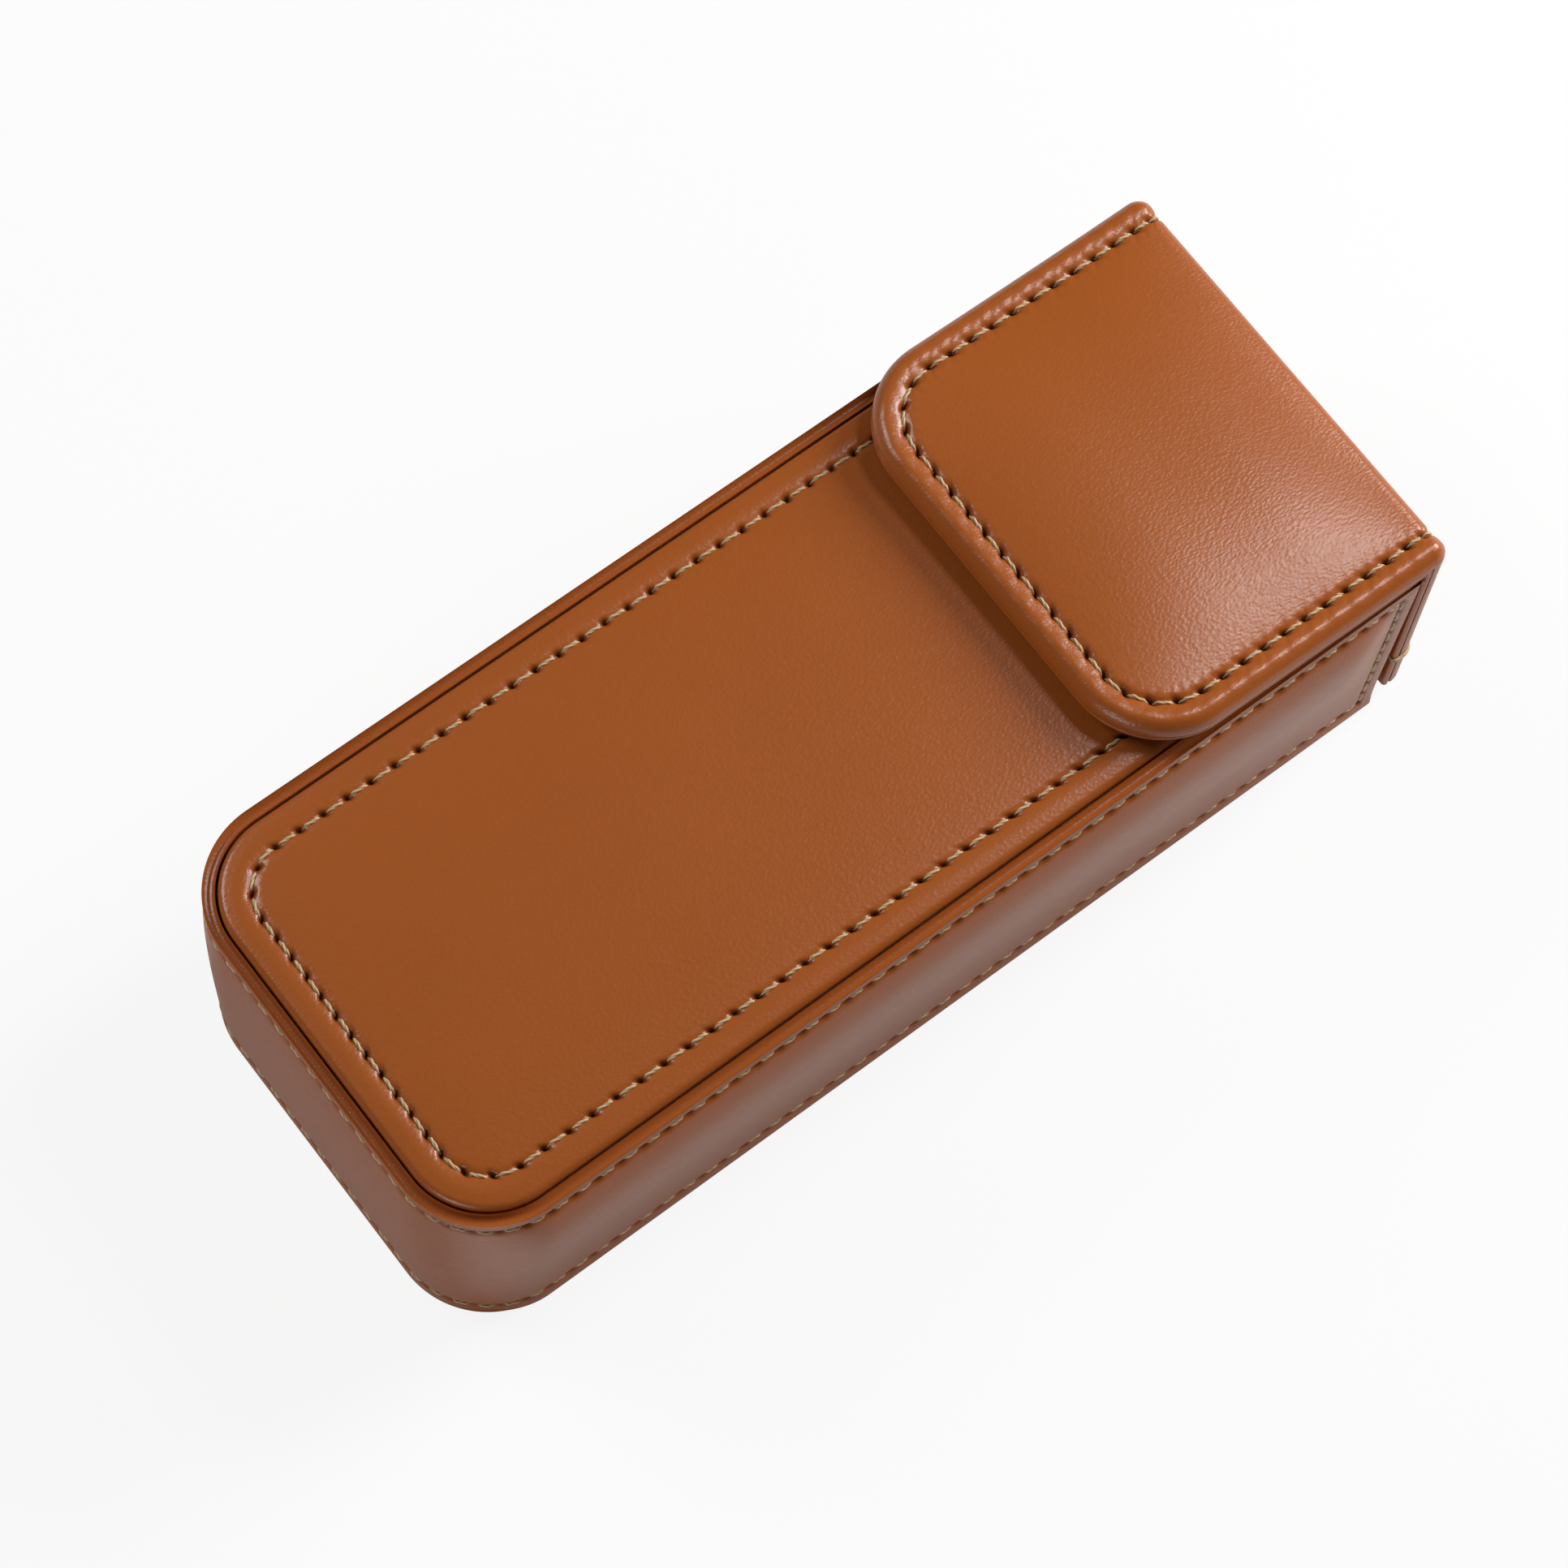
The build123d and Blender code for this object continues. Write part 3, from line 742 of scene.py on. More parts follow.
class GLASSESCASE_OT_front_panel(bpy.types.Operator):
    """Wrap the front panel in padded leather and sew round it"""

    bl_idname = "glassescase.front_panel"
    bl_label = "Front panel"

    def execute(self, context):
        shape, seams = shape_of(context), seams_of(context)
        colours = context.scene.case_colours
        inset = mm(seams.panel_inset)
        corner = mm(shape.end_corner) - panel_inset
        lengths = mm(seams.side_stitch), mm(seams.end_stitch)
        ends = panel_closed_x, mouth_x
        plan = panel_plan(*ends, panel_half_width, corner, mm(shape.mouth_corner), inset, *lengths)
        seam = Seam(seed=11, gather=0.02)
        thickness = front_surface(panel_half_width) - front_low_z
        half, hem, shoulder = panel_half_width, mm(shape.panel_hem), 1.0
        rows = (
            level(thickness, half, half - BESIDE, 24, 16, hem, 4, 1.0)
            + arc((0.5, thickness - 0.5), 0.5, 90, 180, 4)
            + arc((shoulder, shoulder), shoulder, 180, 270, 8)
            + level(0, 1.3, 1.7, 2.1, 2.5)
            + level(0, *seam_rows(inset))
            + level(0, 6.4, 7, 8, 9.5, 11.5, 14, 17, 20, 24, 28, half - BESIDE, half)
        )
        swell = mm(shape.panel_bulge)

        def relief(distance, depth, flat):
            # A low crest runs between the edge and the seam
            top = rise(1 - depth / 0.5)
            border = 0.16 * bell(distance - 2.4, 1.2)
            field = swell * (1 - np.exp(-np.maximum(distance - inset, 0) / 4.0))
            return top * (border + field + seam.relief(distance - inset, plan.stitch, plan.pitch))

        # Where painted shade darkens the needle holes of the panel's seam
        def needle(distance, depth):
            return rise(1 - depth / 0.5) * seam.hole_at(distance - inset, plan.stitch, plan.pitch)

        def place(points, depth):
            return at_height(points, front_surface(points[..., 1]) - depth)

        leather = leather_material(colours)
        piece = skin("front_panel_skin", plan, rows, place, relief, needle, leather, closed_columns=True)
        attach(piece, "case")
        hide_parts("front_panel_leather", "front_panel_padding")

        total = int(round(plan.stitch[-1] + 1 / STEPS))
        run = 0, total, mm(seams.thread), thread_material(colours)
        thread = sewn_thread("front_panel_thread", plan, seam, inset, place, *run, closed=True)
        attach(thread, "case")
        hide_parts("front_panel_stitching")
        return {"FINISHED"}


def mouth_stations(seam_inset):
    """Distances from the mouth to its upright seam, along one side of the wall: close together at the
    mouth's rounded edge and beside the seam."""
    fine = seam_inset - 1.4
    return [0.0, 0.06, 0.2, 0.42, 0.7, *np.arange(1.1, fine, 0.45), *np.arange(fine, seam_inset, 0.2)]


class GLASSESCASE_OT_wall(bpy.types.Operator):
    """Bend the wall's leather round two sides and the closed end, turn its edges in and sew it"""

    bl_idname = "glassescase.wall"
    bl_label = "Wall"

    @staticmethod
    def outline(corner, stitch, mouth_seam):
        """The wall's plan from the near side of the mouth round to the far side, with how far the stations
        of one side are from the mouth, and the number of stitches."""
        corners = [
            ((mouth_x, -half_width), (0, -1), 0.0),
            ((closed_x, -half_width), (-1, -1), corner),
            ((closed_x, half_width), (-1, 1), corner),
            ((mouth_x, half_width), (0, 1), 0.0),
        ]
        side = mouth_x - closed_x - corner
        sewn = side - mouth_seam
        side_count = stitches(sewn, stitch)
        turn_count = stitches(corner * RIGHT_ANGLE, stitch)
        end_count = stitches(2 * (half_width - corner), stitch)
        pitch = sewn / side_count
        sewn_at = mouth_seam + np.arange(side_count * WALL_STEPS) * pitch / WALL_STEPS
        along = np.array([*mouth_stations(mouth_seam), *sewn_at])
        plan = Plan()
        plan.run(corners[0], corners[1], NEAR, along / side, (along - mouth_seam) / pitch, pitch)
        done = side_count
        steps = turn_count * WALL_STEPS
        numbers = done + np.arange(steps) / WALL_STEPS
        plan.turn(corners[1], 270, 180, steps, numbers, corner * RIGHT_ANGLE / turn_count)
        done += turn_count
        shares = np.arange(end_count * WALL_STEPS) / (end_count * WALL_STEPS)
        end_pitch = 2 * (half_width - corner) / end_count
        plan.run(corners[1], corners[2], CLOSED, shares, done + shares * end_count, end_pitch)
        done += end_count
        numbers = done + np.arange(steps) / WALL_STEPS
        plan.turn(corners[2], 180, 90, steps, numbers, corner * RIGHT_ANGLE / turn_count)
        done += turn_count
        back = along[::-1]
        total = done + side_count
        plan.run(corners[2], corners[3], FAR, 1 - back / side, total - (back - mouth_seam) / pitch, pitch)
        return plan.finish(), along, total

    def execute(self, context):
        shape, seams = shape_of(context), seams_of(context)
        colours = context.scene.case_colours
        stitch = mm(seams.wall_stitch)
        mouth_seam = mm(seams.mouth_inset)
        plan, along, total = self.outline(mm(shape.end_corner), stitch, mouth_seam)
        # Distances from the mouth, which don't count past the two sides
        from_mouth = np.full(len(plan.share), 100.0)
        from_mouth[: len(along)] = along
        from_mouth[-len(along) :] = along[::-1]
        top_seam, low_seam = rim_z - mm(seams.rim_drop), floor_z + mm(seams.rim_drop)
        # The edges are turned in round, and the hems inside end just past the board
        bead = 0.88
        thick = 2 * bead
        low_hem, high_hem = board_low_z - 0.05, board_high_z + 0.05
        middle = np.linspace(low_seam + 2.2, top_seam - 2.2, 60)
        heights = [
            *np.linspace(floor_z + bead + 0.3, low_seam - 1.0, 4),
            *seam_rows(low_seam, 1.0, 9)[1:],
            low_seam + 1.5,
            *middle,
            top_seam - 1.5,
            *seam_rows(top_seam, 1.0, 9),
            *np.linspace(top_seam + 1.2, rim_z - bead - 0.1, 4)[:-1],
        ]
        outer = [(0.0, z) for z in heights]
        rim = arc((bead, rim_z - bead), bead, 180, 0, 13)
        rim = [(d, 2 * (rim_z - bead) - z) for d, z in rim]
        foot = arc((bead, floor_z + bead), bead, 0, -180, 9)
        board_face = half_width - board_half_width
        rows = (
            outer
            + rim
            + [(thick, rim_z - bead - 0.8), (thick, high_hem + 0.05), (board_face, high_hem)]
            + [(board_face, z) for z in (high_hem - 0.3, (low_hem + high_hem) / 2, low_hem + 0.3, low_hem)]
            + [(thick, low_hem - 0.05), (thick, floor_z + bead + 0.8)]
            + foot[:-1]
        )
        rows = np.array(rows)
        is_inner = np.isclose(rows[:, 0], board_face)
        is_outer = np.arange(len(rows)) < len(outer)
        top = Seam(seed=21, hole=0.55, groove=0.28)
        low = Seam(seed=22, hole=0.5)
        upright = Seam(seed=23, hole=0.5, groove=0.28)
        # How much of each row turns in at the mouth's edge: all of the outside, and little inside
        edge_radius = 0.7
        rounded = np.where(is_outer, 1.0, 0.15)
        rounded[len(outer) : len(outer) + len(rim)] = np.linspace(0.9, 0.2, len(rim))
        rounded[len(rows) - len(foot) + 1 :] = np.linspace(0.2, 0.9, len(foot) - 1)
        bulge = mm(shape.wall_bulge)
        # 0 along the sides, and 1 round the closed end
        at_end = rise(-1.5 * plan.outward[:, 0])
        upright_count = stitches(top_seam - low_seam, stitch)
        upright_pitch = (top_seam - low_seam) / upright_count
        sewn_part = rise((from_mouth - mouth_seam + 0.5) / 0.5)

        def between_seams(height):
            return rise((height - low_seam) / 0.8) * rise((top_seam - height) / 0.8)

        def upright_stitch(height):
            return from_mouth - mouth_seam, (height - low_seam) / upright_pitch, upright_pitch

        def swelling(height):
            # The swelling is fullest high up on the sides, and lower and less full round the closed end
            share = np.clip((height - low_seam) / (top_seam - low_seam), 0, 1) ** (2.2 - 0.8 * at_end)
            free = np.where(from_mouth > mouth_seam, 1 - bell(from_mouth - mouth_seam, 5.0), 0.0)
            return bulge * (1 - 0.8 * at_end) * (1 - np.abs(2 * share - 1) ** 2.4) * free

        def relief(height):
            # A crease runs under the rim, and the foot spreads a little except round the closed end
            wall = (
                swelling(height)
                + sewn_part * top.relief(height - top_seam, plan.stitch, plan.pitch)
                + sewn_part * low.relief(height - low_seam, plan.stitch, plan.pitch)
                - 0.13 * bell(height - (rim_z - 1.9), 0.35)
                + 0.4 * (1 - at_end) * bell(height - floor_z, 3.2)
                + between_seams(height) * upright.relief(*upright_stitch(height))
            )
            over = np.clip(edge_radius - from_mouth, 0, edge_radius)
            rounding = edge_radius - np.sqrt(edge_radius**2 - over**2)
            return is_outer[:, None] * wall - rounding * rounded[:, None]

        # Where painted shade darkens the needle holes of the wall's three seams
        def needle(height):
            level_holes = top.hole_at(height - top_seam, plan.stitch, plan.pitch)
            level_holes = level_holes + low.hole_at(height - low_seam, plan.stitch, plan.pitch)
            upright_holes = between_seams(height) * upright.hole_at(*upright_stitch(height))
            return is_outer[:, None] * np.clip(sewn_part * level_holes + upright_holes, 0, 1)

        def place(points, height):
            # The foot of the mouth leans back
            lean = 0.5 * (1 - (height - floor_z) / (rim_z - floor_z))
            near_mouth = np.clip(1 - (mouth_x - points[..., 0]) / 12.0, 0, 1) ** 2
            shifted = points.copy()
            shifted[..., 0] -= lean * near_mouth
            return at_height(shifted, height)

        # The inner face lies on the board, and near the mouth on the leather turned in there
        turned_face = board_face + 2.35
        hem_reach = mouth_x - hem_end_x
        normal = left_of(rows, True)
        inset = np.repeat(rows[:, :1], len(plan.share), 1)
        inset[is_inner] = np.where(from_mouth < hem_reach, turned_face, board_face)
        height = np.repeat(rows[:, 1:], len(plan.share), 1)
        push = relief(height)
        points = plan.at(inset + normal[:, :1] * push)
        placed = place(points, height + normal[:, 1:] * push)
        faces = sheet_faces(len(rows), len(plan.share), True, False)
        leather = leather_material(colours)
        piece = make_piece("wall_leather", placed, faces, leather, {"needle": needle(height)})
        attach(piece, "case")
        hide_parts("side_band_leather")

        # The stations start before the seam does, so the thread's own plan leaves those out
        lead = len(mouth_stations(mouth_seam))
        sewn_plan = plan.pick(slice(lead, len(plan.share) - lead))
        index = stations_of(sewn_plan, 0, total, WALL_STEPS)
        yarn = mm(seams.thread), thread_material(colours)
        for name, seam, seam_z, node in (
            ("wall_top_thread", top, top_seam, "side_top_stitching"),
            ("wall_low_thread", low, low_seam, "side_bottom_stitching"),
        ):
            height = np.full(index.shape, seam_z)
            ground = place(points_of(sewn_plan, index, seam.groove), height)
            above = place(points_of(sewn_plan, index, seam.groove - 1), height)
            thread = stitched(name, seam, ground, above, *yarn)
            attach(thread, "case")
            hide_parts(node)

        share = np.linspace(0, 1, WALL_STEPS + 1)[None, :]
        z = low_seam + (np.arange(upright_count)[:, None] + share) * upright_pitch
        x = np.full(z.shape, mouth_x - mouth_seam)
        y = np.full(z.shape, half_width - upright.groove)
        flat = np.concatenate([np.stack([x, -y], -1), np.stack([x, y], -1)])
        out = np.sign(flat) * [0, 1]
        height = np.concatenate([z, z])
        ground, above = place(flat, height), place(flat + out, height)
        thread = stitched("wall_mouth_thread", upright, ground, above, *yarn)
        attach(thread, "case")
        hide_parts("side_mouth_stitching")
        return {"FINISHED"}


class GLASSESCASE_OT_strap(bpy.types.Operator):
    """Shape the padded strap, from the flap's free end over the fold to the foot of the spine"""

    bl_idname = "glassescase.strap"
    bl_label = "Strap"

    # In millimetres: how high the strap's rolled edge ends over the table, and the radius of the thin lip
    # that the edge of the inner leather makes under the roll
    FOOT = 3.2
    LIP = 0.55

    # How much taller than round the upper part of the roll is
    UNDER_ROLL = 0.4

    @classmethod
    def roll_path(cls, off, angles):
        """Points of the rolled edge's upper part, at a distance off the leather. An angle of 0 is where
        the roll stands out most, and 90 is its top."""
        roll = strap_thickness / 2
        under = roll + cls.UNDER_ROLL
        turned = [(math.cos(a), math.sin(a)) for a in np.radians(angles)]
        return [(roll - (roll + off) * out, under - (under + off) * up) for out, up in turned]

    def execute(self, context):
        shape, seams = shape_of(context), seams_of(context)
        colours = context.scene.case_colours
        inset = mm(seams.flap_inset)
        foot = case_top_z - self.FOOT
        corner, stitch = mm(shape.flap_corner), mm(seams.flap_stitch)
        plan = strip_plan(-flap_length, foot, half_width, corner, inset, stitch)
        seam = Seam(seed=31, hole=0.95, gather=0.12, groove=0.36, slot=0.72, reach=0.85)
        thickness = strap_thickness
        roll = thickness / 2
        sunk = thickness - strap_lining
        edge = half_width - window_half_width - 0.05
        lip = self.LIP
        lip_depth = thickness - lip
        under = roll + self.UNDER_ROLL
        lower = arc((lip, lip_depth), lip, 90, 230, 9)
        crease = [(0.42, lip_depth - lip - 0.02)]
        upper = arc((roll, under), roll, 168, 180, 3) + self.roll_path(0, np.linspace(0, 90, 14)[1:])
        rows = (
            level(sunk, half_width, half_width - BESIDE, 24, 14, 7, edge + 0.05)
            + [(edge, sunk + 0.1), (edge, thickness - 0.1), (edge - 0.1, thickness)]
            + level(thickness, 2.6, 1.6, 1.0)
            + lower
            + crease
            + upper
            + level(0, 2.2, 2.5, 2.8)
            + level(0, *seam_rows(inset, 1.6))
            + level(0, 6.5, 7.1, 8, 9.2, 10.5, *np.arange(12, half_width - 1, 1.05))
            + level(0, half_width - BESIDE, half_width)
        )
        swell = mm(shape.flap_bulge)
        strip = FoldedStrip(mm(shape.fold), True)

        def relief(distance, depth, flat):
            # The crest between the edge and the seam is a little higher beside each needle hole
            top = rise(1 - depth / 0.9) * (distance > roll * 0.5)
            crest = (0.2 + 0.035 * np.cos(2 * np.pi * plan.stitch)) * bell(distance - 2.2, 1.0)
            # The padding lifts the middle of the flap, and falls off to the seam and to the fold
            across = 1 - np.clip(np.abs(flat[..., 1]) / (half_width - inset), 0, 1) ** 2.5
            from_end = np.clip((flat[..., 0] + flap_length - inset) / 20.0, 0, 1)
            from_fold = np.clip((np.abs(flat[..., 0]) - 2.0) / 16.0, 0, 1)
            field = swell * across * (1 - (1 - from_end) ** 2) * (1 - (1 - from_fold) ** 2)
            field = field * (1 - np.exp(-np.maximum(distance - inset, 0)))
            # The seam lies flat along the free end, and draws the leather up along the sides
            drawn = 0.35 + 0.65 * np.abs(plan.outward[:, 1])
            sewn = seam.relief(distance - inset, plan.stitch, plan.pitch)
            sewn = sewn - (1 - drawn) * seam.gathers(distance - inset, plan.stitch)
            return top * (crest + field + sewn)

        # Where painted shade darkens the needle holes of the strap's seam
        def needle(distance, depth):
            return rise(1 - depth / 0.5) * seam.hole_at(distance - inset, plan.stitch, plan.pitch)

        place = self.bent_up(strip, shape)
        leather = leather_material(colours)
        piece = skin("strap_skin", plan, rows, place, relief, needle, leather)
        self.bend_with_fold(piece)
        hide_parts("flap_leather", "flap_padding", "spine_leather", "spine_padding")

        total = int(round(plan.stitch[-1]))
        run = 0, total, mm(seams.thread), thread_material(colours)
        thread = sewn_thread("strap_thread", plan, seam, inset, place, *run)
        self.bend_with_fold(thread)
        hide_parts("flap_stitching", "spine_stitching")
        self.lining(plan, place, edge, sunk, colours)
        self.board_and_catch(place, colours)
        self.tacks(place, seams, colours)
        return {"FINISHED"}

    @staticmethod
    def bent_up(strip, shape):
        """The strip with its free end lifted and turned a little, and its foot leaned out. Both begin a
        few millimetres from the fold."""
        lift, skew, lean = mm(shape.flap_lift), mm(shape.flap_skew), mm(shape.spine_lean)
        flap_start, spine_start = 9.0, 4.0

        def place(points, depth):
            share = np.clip((-points[..., 0] - flap_start) / (flap_length - flap_start), 0, 1)
            moved = points.copy()
            moved[..., 1] += skew * share
            placed = strip.place(moved, depth)
            placed[..., 2] += lift * share**1.6
            down = np.clip((points[..., 0] - spine_start) / (case_top_z - spine_start), 0, 1)
            placed[..., 0] += lean * down
            return placed

        return place

    @staticmethod
    def bend_with_fold(piece):
        """Bakes the piece's transform into its mesh. The fold between the spine and the flap is already in
        its points."""
        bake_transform(piece)

    def lining(self, plan, place, edge, sunk, colours):
        """The lining lies in the window that the turned leather leaves."""
        under = strap_thickness
        rows = (
            level(sunk, half_width, half_width - BESIDE, 20, edge + 0.6)
            + [(edge + 0.12, sunk + 0.1), (edge + 0.12, under - 0.15), (edge + 0.25, under)]
            + level(under, edge + 0.6, edge + 1.5, edge + 3, 10, 16, 24, half_width - BESIDE, half_width)
        )
        piece = skin("strap_lining", plan, rows, place, nothing, nothing, lining_material(colours))
        self.bend_with_fold(piece)
        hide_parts("flap_lining", "spine_lining")

    def board_and_catch(self, place, colours):
        """The stiff boards follow the lifted flap and the leaning spine, and so does the flap's magnet."""
        (low_x, _, low_z), (high_x, half, high_z) = node_box("flap_board")
        ends = low_x - fold_x, high_x - fold_x
        points, faces = self.board(place, ends, (case_top_z - low_z, case_top_z - high_z), half, 11.0)
        piece = make_piece("flap_stiffener", points, faces, board_material(colours))
        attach(piece, "flap")
        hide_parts("flap_board")

        (low_x, _, low_z), (high_x, half, high_z) = node_box("spine_board")
        ends = case_top_z - high_z, case_top_z - low_z
        points, faces = self.board(place, ends, (fold_x - low_x, fold_x - high_x), half, 0)
        piece = make_piece("spine_stiffener", points, faces, board_material(colours))
        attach(piece, "spine")
        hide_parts("spine_board")

        (low_x, _, low_z), (high_x, _, high_z) = node_box("flap_magnet")
        radius = (high_x - low_x) / 2
        middle = (high_x + low_x) / 2 - fold_x
        edge, sides = 0.15, 48
        profile = [(0, low_z), (radius - edge, low_z), (radius, low_z + edge), (radius, high_z - edge)]
        profile += [(radius - edge, high_z), (0, high_z)]
        angle = np.arange(sides) / sides * 2 * np.pi
        rings = []
        for r, z in profile:
            ring = np.stack([middle + r * np.cos(angle), r * np.sin(angle)], -1)
            rings.append(place(ring, np.full(sides, case_top_z - z)))
        faces = sheet_faces(len(profile), sides, False, True)
        disc = make_piece("flap_magnet_disc", np.array(rings), faces, steel_material(colours))
        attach(disc, "flap")
        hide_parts("flap_magnet")

    @staticmethod
    def board(place, ends, depths, half, corner):
        """Points and faces of a stiff board between two places along the strap and two depths in it, with
        round corners at its first end."""
        rows, columns = 24, 12
        grid_y = np.linspace(-half, half, columns)
        layers = []
        for depth in depths:
            layer = []
            for along in np.linspace(*ends, rows):
                short = max(corner - (along - ends[0]), 0)
                cut = corner - math.sqrt(max(corner**2 - short**2, 0))
                layer.append([[along, y * (1 - cut / half)] for y in grid_y])
            layers.append(place(np.array(layer), np.full((rows, columns), depth)))
        return np.array(layers), slab_faces(rows, columns)

    def tacks(self, place, seams, colours):
        """Thread tacks that go twice round each rolled edge of the spine."""
        along = case_top_z - mm(seams.tack_height)
        lip, off = self.LIP, mm(seams.thread) * 0.3
        path = (
            [(1.3, strap_thickness - 0.1)]
            + arc((lip, strap_thickness - lip), lip + off, 95, 178, 8)
            + self.roll_path(off, np.linspace(3, 62, 16))
            + [(strap_thickness * 0.36, 0.3)]
        )
        inset, depth = np.array(path).T
        centres, ups = [], []
        for sign in (-1, 1):
            for turn in (-0.3, 0.3):
                slant = along + turn + np.linspace(-0.25, 0.25, len(path))
                flat = np.stack([slant, sign * (half_width - inset)], -1)
                row = place(flat, depth)
                outwards = np.gradient(row, axis=0)
                across = np.cross(outwards, [0.0, 0.0, 1.0])
                centres.append(row)
                ups.append(across * sign)
        path = np.array(centres), np.array(ups)
        yarn = mm(seams.thread), thread_material(colours)
        piece = thread_tubes("spine_edge_tack_thread", *path, *yarn, twists=5)
        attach(piece, "spine")
        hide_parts("spine_edge_tacks")


class GLASSESCASE_OT_back_panel(bpy.types.Operator):
    """Wrap the back panel and run its leather on round the bottom fold into the spine"""

    bl_idname = "glassescase.back_panel"
    bl_label = "Back panel"

    # How far the leather goes on up the spine, and its thickness there, in millimetres
    INTO_SPINE = 7.0
    TONGUE = 0.9

    # How thick this seam's thread is, as a share of the others
    THREAD_SHARE = 0.8

    def execute(self, context):
        shape, seams = shape_of(context), seams_of(context)
        colours = context.scene.case_colours
        inset = mm(seams.panel_inset)
        corner = mm(shape.end_corner) - panel_inset
        near = panel_closed_x - fold_x
        plan = strip_plan(near, self.INTO_SPINE, panel_half_width, corner, inset, mm(seams.side_stitch))
        seam = Seam(seed=41, hole=0.5, gather=0.02, width=0.55)
        thickness = node_box("back_panel_leather")[1][2] - floor_z
        half, hem, shoulder = panel_half_width, mm(shape.panel_hem), 1.0
        rows = (
            level(thickness, half, half - BESIDE, 24, 14, hem, 4, 1.0)
            + arc((0.5, thickness - 0.5), 0.5, 90, 180, 4)
            + arc((shoulder, shoulder), shoulder, 180, 270, 7)
            + level(0, 1.3, 1.8, 2.4)
            + level(0, *seam_rows(inset, 1.4, 11))
            + level(0, 6.4, 8, 11, 15, 20, 26, half - BESIDE, half)
        )
        strip = FoldedStrip(mm(shape.fold), False)
        along = plan.at(np.zeros(len(plan.share)))[:, 0]
        panel_part = along < mouth_x - fold_x
        room = np.where(panel_part, thickness, self.TONGUE)
        sunk = FOLD_SUNK * into_fold(along)
        # The seam ends before the fold
        sewn = rise((mouth_x - fold_x - 2.0 - along) / 0.5)

        def relief(distance, depth, flat):
            face = rise(1 - depth / 0.4)
            pulled = seam.relief(distance - inset, plan.stitch, plan.pitch) * sewn
            return face * np.minimum(pulled, 0)

        # Where painted shade darkens the needle holes of the back panel's seam
        def needle(distance, depth):
            return rise(1 - depth / 0.4) * sewn * seam.hole_at(distance - inset, plan.stitch, plan.pitch)

        def place(points, depth):
            return strip.place(points, np.minimum(depth, room) + sunk)

        leather = leather_material(colours)
        piece = skin("back_panel_skin", plan, rows, place, relief, needle, leather)
        self.bend_with_fold(piece)
        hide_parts("back_panel_leather", "back_panel_padding")

        first = int(np.ceil(plan.stitch[np.argmax(sewn > 0.99)]))
        last = int(plan.stitch[-1]) - first
        run = first, last, mm(seams.thread) * self.THREAD_SHARE, thread_material(colours)
        thread = sewn_thread("back_panel_thread", plan, seam, inset, strip.place, *run)
        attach(thread, "case")
        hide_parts("back_panel_stitching")
        return {"FINISHED"}

    @staticmethod
    def bend_with_fold(piece):
        """Bakes the piece's transform into its mesh. The bottom fold between the case and the spine is
        already in its points.
        """
        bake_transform(piece)


class GLASSESCASE_OT_linings(bpy.types.Operator):
    """Line the pocket: its wall, its front, its back and the inside of the bottom fold"""

    bl_idname = "glassescase.linings"
    bl_label = "Linings"

    def execute(self, context):
        shape = shape_of(context)
        colours = context.scene.case_colours
        cloth = lining_material(colours)
        (low_x, _, low_z), (high_x, half, high_z) = node_box("side_lining")
        corner = mm(shape.end_corner) - (half_width - half)
        thick = node_box("side_lining")[1][1] - node_box("front_panel_lining")[1][1] - 0.1
        plan = strip_plan(low_x, high_x, half, corner, 0, 4.0)
        rows = [(0, z) for z in np.linspace(low_z + 0.1, high_z - 0.1, 10)]
        rows += [(thick, z) for z in np.linspace(high_z - 0.1, low_z + 0.1, 10)]
        plain = at_height, nothing, nothing, cloth
        piece = skin("pocket_wall_lining", plan, rows, *plain, closed_rows=True)
        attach(piece, "case")
        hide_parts("side_lining")

        front, back = node_box("front_panel_lining"), node_box("back_panel_lining")
        half = front[1][1]
        corner = mm(shape.end_corner) - (half_width - half)
        back_top_z = node_box("back_panel_leather")[1][2]
        for name, node, board, levels in (
            ("pocket_front_lining", "front_panel_lining", "front_panel_board", (front[0][2], front_low_z)),
            ("pocket_back_lining", "back_panel_lining", "back_panel_board", (back_top_z, back[1][2])),
        ):
            near_x = node_box(node)[0][0]
            bottom, top = levels
            plan = panel_plan(near_x, mouth_x, half, corner, 1.0, 0, 5.0, 5.0)
            mid = (bottom + top) / 2
            rows = (
                level(bottom, half, half - BESIDE, 18, 8, 2, 0.6)
                + [(0.15, bottom + 0.1), (0.0, mid), (0.15, top - 0.1)]
                + level(top, 0.6, 2, 8, 18, half - BESIDE, half)
            )
            piece = skin(name, plan, rows, *plain, closed_columns=True)
            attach(piece, "case")
            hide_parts(node)

        self.fold_lining(context, cloth)
        return {"FINISHED"}

    def fold_lining(self, context, cloth):
        """The lining turns down over the end of the back board and goes on round the bottom fold."""
        strip = FoldedStrip(mm(shape_of(context).fold), False)
        start, stop = mouth_x - 0.6 - fold_x, 7.5
        half = panel_half_width - 0.1
        stretches = np.linspace(start, -2.4, 8), np.linspace(-2.0, 4.5, 24), np.linspace(5, stop, 5)
        across = np.linspace(-half, half, 40)
        flat = np.stack(np.meshgrid(np.concatenate(stretches), across, indexing="ij"), -1)
        layers = []
        for depth in (0.95, 1.5):
            layer = strip.place(flat, np.full(flat.shape[:2], depth + FOLD_SUNK))
            layer[..., 2] -= FOLD_SUNK * (1 - into_fold(flat[..., 0]))
            layers.append(layer)
        piece = make_piece("bottom_fold_lining", np.array(layers), slab_faces(*flat.shape[:2]), cloth)
        GLASSESCASE_OT_back_panel.bend_with_fold(piece)


